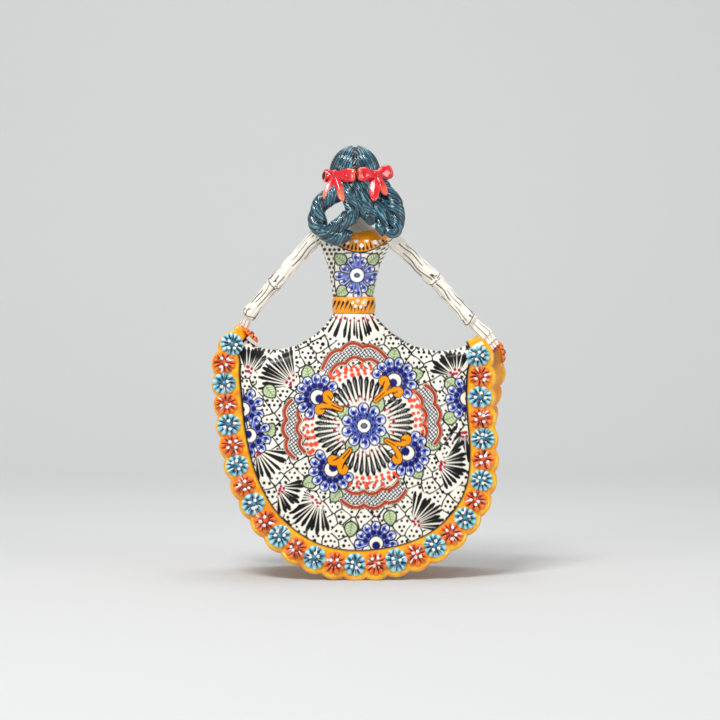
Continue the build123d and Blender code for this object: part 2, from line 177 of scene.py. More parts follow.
def tube_round(line, side, theta, radius):
    """A ring about each point of a line, at angles theta, with a radius for each point of each ring."""
    _, normal, binormal = carried_frames(line, side)
    spokes = np.cos(theta)[None, :, None] * normal[:, None] + np.sin(theta)[None, :, None] * binormal[:, None]
    return line[:, None] + radius[..., None] * spokes


def sphere(from_pole, turn):
    """Unit vectors at the angles from the upward pole and the turns round it."""
    flat = np.sin(from_pole)
    return np.stack(np.broadcast_arrays(flat * np.cos(turn), flat * np.sin(turn), np.cos(from_pole)), -1)


# ---------------------------------------------------------------- mesh helpers
class Clay:
    """A piece of clay put together from closed skins, with its paint."""

    def __init__(self):
        self.verts, self.quads, self.ngons, self.paint, self.count = [], [], [], [], 0

    def add(self, verts, quads, ngons, paint):
        """A closed skin, turned to face outwards, with a colour for each of its points."""
        verts = np.asarray(verts, float).reshape(-1, 3)
        corner = verts[quads] - verts.mean(0)
        normal = np.cross(corner[:, 2] - corner[:, 0], corner[:, 3] - corner[:, 1])
        if (corner.mean(1) * normal).sum() < 0:
            quads, ngons = quads[:, ::-1], [list(g)[::-1] for g in ngons]
        self.verts.append(verts)
        self.quads.append(quads + self.count)
        self.ngons += [[i + self.count for i in g] for g in ngons]
        self.paint.append(paint)
        self.count += len(verts)

    def tube(self, rings, paint):
        """Rings of points joined into a skin, with a flat face over each end."""
        n, m = rings.shape[:2]
        i, j = np.arange(n - 1)[:, None] * m, np.arange(m)[None]
        k = (j + 1) % m
        quads = np.stack([i + j, i + k, i + m + k, i + m + j], -1).reshape(-1, 4)
        ends = [list(range(m))[::-1], list(range((n - 1) * m, n * m))]
        self.add(rings, quads, ends, paint.reshape(-1, 3))

    def slab(self, outer, inner, step, outer_paint, inner_paint):
        """A dense outside, an inside with one face to each step by step of its faces, and the rims."""
        n, m = outer.shape[:2]
        p, q = inner.shape[:2]
        index = np.arange(n * m).reshape(n, m)
        inside = np.arange(p * q).reshape(p, q) + n * m
        quads = [np.stack([g[:-1, :-1], g[1:, :-1], g[1:, 1:], g[:-1, 1:]], -1).reshape(-1, 4)
                 for g in (index, inside[:, ::-1])]
        ngons = []
        for dense, coarse, flip in ((index[0], inside[0], 1), (index[-1], inside[-1], -1),
                                    (index[:, 0], inside[:, 0], -1), (index[:, -1], inside[:, -1], 1)):
            for k in range(len(coarse) - 1):
                loop = list(dense[k * step:(k + 1) * step + 1][::-1]) + [coarse[k], coarse[k + 1]]
                ngons.append(loop[::flip])
        both = [np.concatenate([a.reshape(-1, 3), b.reshape(-1, 3)])
                for a, b in ((outer, inner), (outer_paint, inner_paint))]
        self.add(both[0], np.concatenate(quads), ngons, both[1])

    def piece(self, name, slot, sharp=55):
        """The finished mesh, in the glaze named like its slot, in place of the CAD node of its name."""
        verts, quads = np.concatenate(self.verts), np.concatenate(self.quads)
        sizes = np.concatenate([np.full(len(quads), 4), [len(g) for g in self.ngons]]).astype(np.int32)
        corners = np.concatenate([quads.ravel()] + [np.array(g) for g in self.ngons]).astype(np.int32)
        mesh = bpy.data.meshes.new(name)
        mesh.vertices.add(len(verts))
        mesh.vertices.foreach_set("co", (verts * MM).astype(np.float32).ravel())
        mesh.loops.add(len(corners))
        mesh.loops.foreach_set("vertex_index", corners)
        mesh.polygons.add(len(sizes))
        mesh.polygons.foreach_set("loop_start", np.concatenate([[0], np.cumsum(sizes)[:-1]]).astype(np.int32))
        mesh.polygons.foreach_set("use_smooth", np.ones(len(sizes), bool))
        mesh.update(calc_edges=True)
        colour = np.concatenate([np.clip(np.concatenate(self.paint), 0, 1), np.ones((len(verts), 1))], 1)
        mesh.color_attributes.new("paint", "FLOAT_COLOR", "POINT").data.foreach_set(
            "color", colour.astype(np.float32).ravel())
        mesh.validate()
        mesh.set_sharp_from_angle(angle=math.radians(sharp))
        mesh.materials.append(GLAZES[slot])
        piece = bpy.data.objects.new(name, mesh)
        bpy.context.collection.objects.link(piece)
        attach(piece, "root")
        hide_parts(name)


# ---------------------------------------------------------------- materials
def glaze(name, roughness, coat, mottle, mottle_size, swirl=0.05, peel=0.10, shine=0.45):
    """A painted glaze: the laid paint with kiln mottling and specks under an uneven clear coat."""
    material = bpy.data.materials.new(name)
    material.use_nodes = True
    nodes, links = material.node_tree.nodes, material.node_tree.links
    shader = nodes["Principled BSDF"]
    shader.inputs["Coat Weight"].default_value = coat
    shader.inputs["Coat Roughness"].default_value = 0.06
    shader.inputs["IOR"].default_value = 1.5
    shader.inputs["Specular IOR Level"].default_value = shine
    paint = nodes.new("ShaderNodeAttribute")
    paint.attribute_name = "paint"
    place = nodes.new("ShaderNodeTexCoord")

    def noise(size, detail, source):
        texture = nodes.new("ShaderNodeTexNoise")
        texture.inputs["Scale"].default_value = 1000 / size
        texture.inputs["Detail"].default_value = detail
        links.new(source, texture.inputs["Vector"])
        return texture.outputs["Fac"]

    def ranged(value, *limits):
        remap = nodes.new("ShaderNodeMapRange")
        for socket, number in zip(("From Min", "From Max", "To Min", "To Max"), limits):
            remap.inputs[socket].default_value = number
        links.new(value, remap.inputs["Value"])
        return remap.outputs["Result"]

    def multiplied(colour, value):
        scale = nodes.new("ShaderNodeVectorMath")
        scale.operation = "SCALE"
        links.new(colour, scale.inputs[0])
        links.new(value, scale.inputs["Scale"])
        return scale.outputs["Vector"]

    brushed = noise(mottle_size, 4, place.outputs["Object"])
    pooled = noise(mottle_size * 5, 2, place.outputs["Object"])
    fleck = nodes.new("ShaderNodeTexVoronoi")
    fleck.inputs["Scale"].default_value = 1000 / 3.4
    links.new(place.outputs["Object"], fleck.inputs["Vector"])
    colour = multiplied(paint.outputs["Color"], ranged(brushed, 0.3, 0.7, 1 - mottle, 1 + mottle * 0.6))
    colour = multiplied(colour, ranged(pooled, 0.3, 0.7, 1 - mottle * 0.6, 1 + mottle * 0.4))
    specks = nodes.new("ShaderNodeMix")
    specks.data_type = "RGBA"
    specks.inputs["B"].default_value = (*SPECK, 1)
    links.new(ranged(fleck.outputs["Distance"], 0.05, 0.09, 0.45, 0), specks.inputs["Factor"])
    links.new(colour, specks.inputs["A"])
    links.new(specks.outputs["Result"], shader.inputs["Base Color"])
    links.new(ranged(pooled, 0.3, 0.7, roughness * 0.7, roughness * 1.5), shader.inputs["Roughness"])

    height = nodes.new("ShaderNodeMath")
    height.operation = "MULTIPLY_ADD"
    links.new(noise(9, 2, place.outputs["Object"]), height.inputs[0])
    height.inputs[1].default_value = swirl / max(peel, 0.001)
    links.new(noise(1.3, 2, place.outputs["Object"]), height.inputs[2])
    bump = nodes.new("ShaderNodeBump")
    bump.inputs["Strength"].default_value = 1
    bump.inputs["Distance"].default_value = peel * MM
    links.new(height.outputs["Value"], bump.inputs["Height"])
    links.new(bump.outputs["Normal"], shader.inputs["Normal"])
    links.new(bump.outputs["Normal"], shader.inputs["Coat Normal"])
    return material


LOOKS = {
    "skirt_painted_glaze": dict(roughness=0.3, coat=0.15, mottle=0.08, mottle_size=5, swirl=0.08, shine=0.22),
    "ruffle_yellow_glaze": dict(roughness=0.12, coat=0.8, mottle=0.16, mottle_size=6, swirl=0.12),
    "flower_teal_glaze": dict(roughness=0.10, coat=0.9, mottle=0.20, mottle_size=2.5, swirl=0.12),
    "flower_orange_glaze": dict(roughness=0.14, coat=0.45, mottle=0.14, mottle_size=2.5, swirl=0.12,
                                shine=0.35),
    "band_orange_glaze": dict(roughness=0.16, coat=0.6, mottle=0.12, mottle_size=5),
    "bodice_painted_glaze": dict(roughness=0.20, coat=0.4, mottle=0.08, mottle_size=5),
    "hair_teal_glaze": dict(roughness=0.13, coat=0.8, mottle=0.22, mottle_size=2.2, swirl=0.10, peel=0.14),
    "bow_red_glaze": dict(roughness=0.14, coat=0.8, mottle=0.14, mottle_size=3, swirl=0.10),
    "bone_cream_glaze": dict(roughness=0.22, coat=0.5, mottle=0.10, mottle_size=4, swirl=0.08),
}
GLAZES = {name: glaze(name, **look) for name, look in LOOKS.items()}


# ---------------------------------------------------------------- brush work
class Brush:
    """Lays paint on points that are given by two coordinates in millimetres."""

    def __init__(self, u, v, base, seed):
        self.order = np.argsort(u, kind="stable")
        self.u, self.v = u[self.order], v[self.order]
        self.colour = np.tile(base, (len(u), 1)).astype(float)
        self.rng = np.random.default_rng(seed)

    def painted(self):
        """The colours, in the order in which the points were given."""
        out = np.empty_like(self.colour)
        out[self.order] = self.colour
        return out

    def near(self, points, reach):
        """Indices of the points within reach of the box round the given ones."""
        points = np.asarray(points, float).reshape(-1, 2)
        (u0, v0), (u1, v1) = points.min(0) - reach, points.max(0) + reach
        first, last = np.searchsorted(self.u, (u0, u1))
        v = self.v[first:last]
        return np.nonzero((v > v0) & (v < v1))[0] + first

    def lay(self, at, distance, colour, soft=0.3):
        """Colour where the distance to a shape's edge is negative, with a soft edge."""
        share = np.clip(0.5 - distance / (2 * soft), 0, 1)[:, None]
        self.colour[at] = self.colour[at] * (1 - share) + share * colour

    def from_segment(self, at, start, end):
        """How far along a segment each point lies, as a share, and how far off it."""
        run = np.subtract(end, start)
        du, dv = self.u[at] - start[0], self.v[at] - start[1]
        t = np.clip((du * run[0] + dv * run[1]) / max(run @ run, 1e-6), 0, 1)
        return t, np.hypot(du - t * run[0], dv - t * run[1])

    def spot(self, x, z, radius, colour, squash=1.0, turn=0.0):
        """A round spot, or an oval one when it is squashed and turned."""
        at = self.near((x, z), radius + 1)
        du, dv = self.u[at] - x, self.v[at] - z
        a, b = du * math.cos(turn) + dv * math.sin(turn), dv * math.cos(turn) - du * math.sin(turn)
        self.lay(at, np.hypot(a, b / squash) - radius, colour)

    def rough_spot(self, x, z, radius, colour):
        """A spot as a quick hand sets it: a little off its place, its size and round."""
        dx, dz, grow = self.rng.normal(0, 0.25, 3)
        self.spot(x + dx, z + dz, radius * (1 + grow * 0.4), colour, self.rng.uniform(0.8, 1.1),
                  self.rng.uniform(0, PI))

    def spots(self, x, z, *rounds):
        """Spots on one centre, the widest first, each a radius, a colour and perhaps a squash."""
        for radius, colour, *squash in rounds:
            self.spot(x, z, radius, colour, *squash)

    def stroke(self, start, end, w0, w1, colour):
        """A brush mark that starts w0 wide and ends w1 wide."""
        at = self.near((start, end), max(w0, w1) + 1)
        t, distance = self.from_segment(at, start, end)
        self.lay(at, distance - mix(w0, w1, t) / 2, colour)

    def drop(self, start, end, width, colour):
        """A teardrop: thin at its start, full near its end."""
        start, end = np.array(start, float), np.array(end, float)
        belly = mix(start, end, 0.86)
        self.stroke(start, belly, 0.3, width, colour)
        self.stroke(belly, end, width, width * 0.7, colour)

    def line(self, points, width, colour):
        """A mark of even width through the points."""
        points = np.asarray(points, float)
        at = self.near(points, width + 1)
        if len(at) == 0:
            return
        best = np.full(len(at), 99.0)
        for start, end in zip(points[:-1], points[1:]):
            best = np.minimum(best, self.from_segment(at, start, end)[1])
        self.lay(at, best - width / 2, colour)

    def inside(self, at, points):
        """Which of the points lie within a closed outline."""
        u, v, odd = self.u[at], self.v[at], np.zeros(len(at), bool)
        for (x0, z0), (x1, z1) in zip(points, np.roll(points, -1, axis=0)):
            if z0 != z1:
                odd ^= ((z0 > v) != (z1 > v)) & (u < (x1 - x0) * (v - z0) / (z1 - z0) + x0)
        return odd

    def patch(self, points, colour, edge=None, width=0.9):
        """A closed outline filled with one colour, and edged with another if it is given."""
        points = np.asarray(points, float)
        at = self.near(points, 0)
        at = at[self.inside(at, points)]
        self.colour[at] = colour
        if edge is not None:
            self.line(np.vstack([points, points[:1]]), width, edge)

    def net(self, points, pitch, turn):
        """Cross-hatching inside a closed outline."""
        at = self.near(points, 0)
        at = at[self.inside(at, np.asarray(points, float))]
        for angle in (turn, turn + PI / 2):
            across = self.u[at] * math.cos(angle) + self.v[at] * math.sin(angle)
            across = across + 0.5 * np.sin(self.v[at] * 0.5) * math.cos(angle)
            self.lay(at, np.abs((across / pitch) % 1 - 0.5) * pitch - 0.46, BLACK)


def polar(x, z, radius, angle):
    """The place at a radius and angle from x, z."""
    return x + radius * math.cos(angle), z + radius * math.sin(angle)


def paint_cells(brush, low, high, pitch=13.5, lean=math.radians(38)):
    """Cream cells of a leaning, uneven net with thin black outlines, sown with black dots."""
    rng = brush.rng
    middle = (np.array(low) + high) / 2
    reach = int(np.hypot(high[0] - low[0], high[1] - low[1]) / pitch / 2) + 2
    seeds = []
    for row in range(-reach, reach):
        for column in range(-reach, reach):
            u, v = pitch * (row + 0.12 * (column % 3)), pitch * column
            x = middle[0] + u * math.cos(lean) - v * math.sin(lean) + rng.uniform(-2.2, 2.2)
            z = middle[1] + u * math.sin(lean) + v * math.cos(lean) + rng.uniform(-2.2, 2.2)
            if low[0] - pitch < x < high[0] + pitch and low[1] - pitch < z < high[1] + pitch:
                seeds.append((x, z))
    seeds = np.array(seeds)
    first = np.full(len(brush.u), 1e9)
    second = first.copy()
    bent_u = brush.u + 1.3 * np.sin(brush.v * 0.19) + 0.25 * np.sin(brush.v * 0.71 + 1)
    bent_v = brush.v + 1.3 * np.sin(brush.u * 0.17 + 2) + 0.25 * np.sin(brush.u * 0.67)
    for x, z in seeds:
        at = brush.near((x, z), pitch * 1.9)
        distance = np.hypot(bent_u[at] - x, bent_v[at] - z)
        nearer = distance < first[at]
        second[at] = np.where(nearer, first[at], np.minimum(second[at], distance))
        first[at] = np.where(nearer, distance, first[at])
    gap = second - first
    for row, z in enumerate(np.arange(low[1], high[1], 4.4)):
        for x in np.arange(low[0] + (row % 2) * 2.3, high[0], 4.7):
            x1, z1 = x + rng.uniform(-0.6, 0.6), z + rng.uniform(-0.6, 0.6)
            two = np.sort(np.hypot(seeds[:, 0] - x1, seeds[:, 1] - z1))[:2]
            if two[1] - two[0] > 2.6:
                brush.rough_spot(x1, z1, rng.uniform(1.15, 1.6), BLACK)
    brush.lay(slice(None), gap - 1.2, BLACK, 0.5)


def paint_fan(brush, x, z, low, high, inner, outer, count, width=3.5, dots=6):
    """Black teardrops that spread from a point, with crimson dots where they meet."""
    low, high = math.radians(low), math.radians(high)
    rim = [polar(x, z, outer + 1.5, a) for a in np.linspace(low - 0.1, high + 0.1, 14)]
    brush.patch([(x, z)] + rim, CREAM)
    for i, angle in enumerate(np.linspace(low, high, count)):
        angle += brush.rng.normal(0, 0.02)
        near, far = inner + brush.rng.uniform(-1, 2), outer * brush.rng.uniform(0.86, 1.03)
        fat = width * brush.rng.uniform(0.85, 1.25)
        brush.drop(polar(x, z, near, angle), polar(x, z, far, angle), fat, BLACK)
    for i in range(dots):
        angle = mix(low, high, (i + 0.5) / dots)
        brush.rough_spot(*polar(x, z, inner * (0.6 if i % 2 else 1.05), angle), 1.5, CRIMSON)


def paint_leaf(brush, x, z, length, heading):
    """A pale green leaf with a dark outline and combed veins."""
    along = np.array((math.cos(heading), math.sin(heading)))
    side = np.array((-along[1], along[0]))
    t = np.linspace(0, 1, 12)
    half = length * 0.42 * np.sin(PI * t ** 0.8) ** 0.7
    spine = np.array((x, z)) + np.outer((t - 0.5) * length, along)
    outline = np.vstack([spine + np.outer(half, side), (spine - np.outer(half, side))[::-1]])
    brush.patch(outline, LEAF, LEAF_DARK, 1.5)
    brush.stroke(spine[1], spine[-2], 1.0, 0.6, VEIN)
    for k in range(2, 10, 2):
        for sign in (1, -1):
            tip = spine[min(k + 2, 11)] + side * sign * half[k] * 0.8
            brush.stroke(spine[k], tip, 0.9, 0.5, VEIN)


def paint_petals(brush, x, z, radius, angles, lobe):
    """Round blue petals: navy outline, blue wash, a cobalt eye and a white tip."""
    for angle in angles:
        angle += brush.rng.normal(0, 0.03)
        cx, cz = polar(x, z, radius - lobe, angle)
        root = polar(x, z, radius * 0.30, angle)
        brush.stroke(root, (cx, cz), lobe * 0.9, lobe * 2 + 1.5, NAVY)
        brush.stroke(root, (cx, cz), lobe * 0.5, lobe * 2 - 0.9, PALE_BLUE)
        brush.stroke(root, (cx, cz), lobe * 0.4, lobe * 1.25, WASH)
        brush.line([polar(x, z, radius * 0.42, angle - 0.14), polar(x, z, radius - lobe * 1.1, angle - 0.15),
                    polar(x, z, radius - lobe * 0.45, angle + 0.02)], 0.7, COBALT)
        for back, aside, size, colour in ((1.25, 0.06, 0.40, COBALT), (0.62, -0.08, 0.33, WHITE),
                                          (1.85, -0.10, 0.17, WHITE)):
            brush.spot(*polar(x, z, radius - lobe * back, angle + aside), lobe * size, colour)


def paint_flower(brush, x, z, radius, petals, turn):
    """A flower seen from above: blue petals round a white and navy eye."""
    angles = [turn + 2 * PI * k / petals for k in range(petals)]
    brush.spot(x, z, radius * 0.72, NAVY)
    paint_petals(brush, x, z, radius, angles, radius * 0.225)
    for angle in angles:
        brush.spots(*polar(x, z, radius * 0.49, angle + PI / petals),
                    (radius * 0.14, NAVY), (radius * 0.105, WASH), (radius * 0.07, COBALT))
    brush.spots(x, z, (radius * 0.34, NAVY), (radius * 0.28, WHITE), (radius * 0.16, NAVY, 0.8),
                (radius * 0.11, GREY, 0.7))


def paint_half_flower(brush, x, z, heading, radius=21.5, petals=8, spread=205):
    """A flower seen from the side: a cobalt eye in a cream crescent under a crown of petals."""
    spread = math.radians(spread)
    angles = [heading + spread * (k / (petals - 1) - 0.5) for k in range(petals)]
    paint_petals(brush, x, z, radius, angles, radius * 0.195)
    for angle in angles[:-1]:
        brush.spots(*polar(x, z, radius * 0.5, angle + spread / petals / 2),
                    (radius * 0.125, NAVY), (radius * 0.085, COBALT))
    brush.spots(x, z, (radius * 0.36, NAVY), (radius * 0.30, CREAM))
    brush.spots(*polar(x, z, radius * 0.1, heading + PI), (radius * 0.19, NAVY), (radius * 0.14, COBALT))


def paint_scroll(brush, root, curls):
    """A pair of orange scrolls that grow from one root."""
    root = np.array(root, float)
    curls = [np.array(curl, float) for curl in curls]
    middle = (curls[0] + curls[1]) / 2
    for width, colour, grow in ((5.6, BLACK, 0.9), (3.6, SCROLL, 0)):
        for curl in curls:
            inward = unit(middle - curl)
            neck = mix(root, middle, 0.45) - inward * 0.6
            crook = curl + inward * 4.3 + unit(middle - root) * 0.5
            brush.line([root, neck, crook], width, colour)
            brush.spot(*curl, 4.6 + grow, colour)
    for curl in curls:
        inward = unit(middle - curl)
        low = curl + inward * 2.4 - unit(middle - root) * 4.2
        brush.stroke(curl + inward * 0.6, low, 1.0, 1.5, BLACK)
    brush.line([root, mix(root, middle, 0.55)], 1.1, BLACK)


def paint_border(brush, centre, x, z, lobe_span, depth, bend):
    """A double scalloped band with a net between, arched round the medallion's centre."""
    out = unit(np.array((x, z)) - np.array(centre))
    along = np.array((-out[1], out[0]))
    edges = []
    for step, reach, span in ((0, 1.5, lobe_span), (-depth, 1.42, lobe_span * 0.86)):
        q = np.linspace(-reach, reach, 49)
        tau = q * span
        rise = step + 3.6 * np.abs(np.cos(PI * q)) ** 0.8 - bend * tau ** 2
        edges.append(np.array((x, z)) + np.outer(rise, out) + np.outer(tau, along))
    outline = np.vstack([edges[0], edges[1][::-1]])
    brush.patch(outline, WHITE)
    brush.net(outline, 2.6, math.atan2(out[1], out[0]) + 0.6)
    for edge in edges:
        brush.line(edge, 5.2, BLACK)
        brush.line(edge, 4.0, CREAM)
        brush.line(edge + out * 0.2, 3.2, TERRACOTTA)


def paint_quarter(brush, cx, cz, angle):
    """A quarter of the medallion: a fan of drops with crimson dots inside it and red ones outside."""
    rim = [polar(cx, cz, 52, a) for a in np.linspace(angle - 0.62, angle + 0.62, 12)]
    brush.patch([(cx, cz)] + rim, CREAM)
    for i in range(10):
        a = angle + math.radians(-34 + 68 * i / 9)
        reach = 46 - 1.4 * abs(i - 4.5)
        brush.drop(polar(cx, cz, 22.5, a), polar(cx, cz, reach, a), 4.4, BLACK)
        brush.stroke(polar(cx, cz, 34, a + 0.01), polar(cx, cz, reach - 3, a + 0.012), 0.3, 1.3, GREY)
    for i in range(7):
        a = angle + math.radians(-30 + 10 * i)
        brush.rough_spot(*polar(cx, cz, 24.0 + (i % 2) * 3.6, a), 1.5, CRIMSON)
    for row, (reach, count) in enumerate(((48, 11), (51.8, 12), (55.4, 10))):
        for i in range(count):
            a = angle + math.radians(-38 + 76 * (i + 0.5 * (row % 2)) / (count - 0.5))
            brush.rough_spot(*polar(cx, cz, reach + brush.rng.uniform(-0.8, 0.8), a), 1.95, DOT_RED)


def paint_medallion(brush, cx, cz, turn=0.0):
    """The round design in the middle of a skirt panel, its places taken from the back's."""
    c, s = math.cos(turn), math.sin(turn)

    def place(x, z):
        dx, dz = x - MEDALLION[0], z - MEDALLION[1]
        return cx + dx * c - dz * s, cz + dx * s + dz * c

    for x, z, span, bend in ((-7, 212.5, 20, 0.017), (-67, 137, 17.5, 0.008),
                             (71, 151, 18, 0.008), (14, 69, 20, 0.009)):
        paint_border(brush, (cx, cz), *place(x, z), span, 13, bend)
    tilt = math.radians(8) + turn
    for k in range(4):
        paint_quarter(brush, cx, cz, tilt + PI / 2 * k)
    for x, z, heading in ((-38.5, 166.6, 138), (32, 181.4, 58), (-25.5, 100.7, 232), (44, 115.5, -38)):
        paint_half_flower(brush, *place(x, z), math.radians(heading) + turn)
    for x, z, heading in ((-14.4, 152.7, 143), (17.2, 160, 57), (21.8, 129.5, -33), (-7, 122, 238)):
        paint_leaf(brush, *place(x, z), 15.5, math.radians(heading) + turn)
    for root, *curls in (((-17, 156), (-29.2, 168.4), (-36.7, 155.4)),
                         ((15, 164), (22.7, 181.4), (35.7, 171.2)),
                         ((-9, 118), (-24.6, 109), (-15.3, 100.7)), ((25, 127), (43.2, 127.6), (34.8, 110))):
        paint_scroll(brush, place(*root), [place(*curl) for curl in curls])
    paint_flower(brush, cx, cz, 21, 10, tilt + 0.2)


def paint_back(brush):
    """The painted back of the skirt, seen from behind."""
    paint_cells(brush, (-130, 0), (130, 246))
    for x, z, low, high, inner, outer, count in (
            (-104.3, 184.2, 34, 104, 9, 28, 10), (-58.8, 176.8, 98, 184, 9, 35, 12),
            (90.3, 184, 62, 165, 7, 25, 11), (97, 138, -118, -62, 8, 34, 9),
            (71.5, 105.3, -66, 30, 7, 27, 10), (47.3, 49.2, -10, 80, 7, 31, 11),
            (-36.2, 73.3, 156, 284, 7, 31, 14), (-96, 119, -84, -8, 6, 29, 8), (-76, 84, -84, 14, 6, 24, 9)):
        paint_fan(brush, x, z, low, high, inner, outer, count)
    paint_fan(brush, -5, 268, -118, -62, 28, 50, 13, width=2.7, dots=0)
    for k in range(9):
        brush.rough_spot(BODY_X - 17 + 4.2 * k, 239.5 - 2.6 * (k % 2), 1.4, CRIMSON)
    for a, b in (((80, 128), (90, 139)), ((85, 123), (93, 133)), ((88, 117), (96, 125))):
        brush.drop(a, b, 4, BLACK)
    for x, z, heading in ((-47.8, 188.8, 100), (-62.6, 160.1, 20), (-83.1, 171.2, -50), (-83.1, 136.0, 60),
                          (32.0, 204.6, 80), (52.4, 187.0, 10), (85.8, 177.7, -30), (84.9, 147.1, 20),
                          (68.2, 123.0, -20), (53.4, 97.9, -60), (28.3, 56.1, -80), (-45.9, 88.6, 200),
                          (-21.8, 76.6, 230), (-7.9, 45.9, 260)):
        paint_leaf(brush, x, z, 14.5, math.radians(heading))
    for x, z, heading, petals in ((-108, 155, 5, 6), (-101.6, 131, -30, 6),
                                  (99.8, 164.7, 180, 7), (15.4, 33, 90, 7)):
        paint_half_flower(brush, x, z, math.radians(heading), 20, petals, 190)
    paint_medallion(brush, *MEDALLION)


def paint_front(brush):
    """The painted front of the skirt: the same hand and motifs in another order."""
    paint_cells(brush, (-130, 0), (130, 246))
    for angle in range(18, 378, 36):
        x, z = polar(0, 128, 84, math.radians(angle))
        paint_fan(brush, x, z, angle - 38, angle + 38, 7, 27, 9)
    paint_fan(brush, 4, 268, -118, -62, 30, 50, 12, dots=0)
    for angle in range(0, 360, 24):
        paint_leaf(brush, *polar(0, 128, 76, math.radians(angle)), 13.5, math.radians(angle + 25))
    for x, z, heading in ((-101, 150, 0), (101, 150, 180), (0, 30, 90)):
        paint_half_flower(brush, x, z, math.radians(heading), 20, 7, 190)
    paint_medallion(brush, -2, 133, math.radians(-20))


# ---------------------------------------------------------------- skirt
class Hem:
    """The line of the pressed flowers round one side of the skirt; s runs along it from 0 to 1."""

    def __init__(self, points, side):
        self.line, self.length = path_through(points, 6001)
        self.share = np.linspace(0, 1, len(self.line))
        self.slope = unit(np.gradient(self.line, axis=0))
        self.side = side

    def sample(self, table, s):
        """The x and z that a table along the hem holds at s."""
        return np.stack([np.interp(s, self.share, table[:, k]) for k in (0, 1)], -1)

    def point(self, s):
        """A point of the line, carried on over the ridge where s is past an end."""
        inner = np.where(s < 0, -s, np.where(s > 1, 2 - s, s))
        run = np.minimum(inner, 1 - inner) * self.length
        bend = BEND_RADIUS * np.sqrt(1 - np.clip(1 - run / BEND_RADIUS, 0, 1) ** 2)
        depth = bend + HEM_SPLAY * np.sin(PI * inner) ** HEM_SPLAY_POWER
        flat = self.sample(self.line, inner)
        return np.stack([flat[..., 0], np.where(inner == s, -depth, depth), flat[..., 1]], -1)

    def frame(self, s):
        """Centre of the hem, its outward direction and the direction its face looks."""
        tangent = self.sample(self.slope, s)
        out = unit(np.stack([tangent[..., 1], -HEM_FLARE * np.sin(PI * s), -tangent[..., 0]], -1))
        along = self.point(s + 0.001) - self.point(s - 0.001)
        return self.point(s), out, unit(np.cross(out, along))

    def inner_width(self, s):
        """Width of the ruffle inside the flower line; it narrows where it turns over the ridge."""
        run = smooth(0, CORNER_TAPER, np.minimum(s, 1 - s) * self.length)
        return mix(RUFFLE_CORNER, mix(*RUFFLE_IN, s), run)

    def flower_share(self, index):
        first = FIRST_FLOWER / self.length
        return mix(first, 1 - first, index / (FLOWERS - 1))

    def stations(self, bends, middles):
        """Places round the hem, closer together in the bends."""
        bend = BEND_RADIUS / self.length
        turn = np.linspace(0, PI / 2, bends, endpoint=False)
        left = bend * (1 - np.cos(turn))
        return np.concatenate([left, np.linspace(bend, 1 - bend, middles), 1 - left[::-1]])

    def faced(self, points):
        """Points of the back as they lie on this side of the skirt."""
        return points * np.array((1, self.side, 1))


def panel_grid(hem, s, t):
    """The outside of a skirt panel, rows from the waist to the ruffle along the last axis but one."""
    bend = BEND_RADIUS / hem.length
    nearer = np.minimum(s, 1 - s)
    turn = np.arccos(np.clip(1 - nearer / bend, 0, 1)) / (PI / 2)
    share = np.where(nearer < bend, BEND_SHARE * turn,
                     BEND_SHARE + (1 - 2 * BEND_SHARE) * (nearer - bend) / (1 - 2 * bend))
    share = np.where(s > 0.5, 1 - share, share)
    around = PI * share
    waist = np.stack([BODY_X - WAIST_SHIFT - WAIST_HALF_X * np.cos(around), -WAIST_HALF_Y * np.sin(around),
                      np.full_like(s, WAIST_Z)], -1)
    fall = np.stack([BODY_X - FALL_HALF_X * np.cos(around),
                     -FALL_HALF_Y * np.clip(np.sin(around), 0, 1) ** FALL_POWER,
                     FALL_Z + FALL_RISE * np.cos(around) ** 2], -1)
    centre, out, _ = hem.frame(s)
    edge = centre - out * (hem.inner_width(s) + SLIP)[:, None]
    belly = edge - out * (BELLY + BELLY_SWELL * np.sin(PI * s))[:, None]
    t = t[None, :, None]
    a, b, c, d = (p[:, None] for p in (waist, fall, belly, edge))
    return a * (1 - t) ** 3 + b * 3 * t * (1 - t) ** 2 + c * 3 * t ** 2 * (1 - t) + d * t ** 3


def grid_normals(grid):
    """Directions square to a panel, kept in the seam's plane at its ends and level at the waist."""
    normal = np.cross(np.gradient(grid, axis=0), np.gradient(grid, axis=1))
    normal[[0, -1], :, 1] = 0
    normal[:, 0, 2] = 0
    return unit(normal)


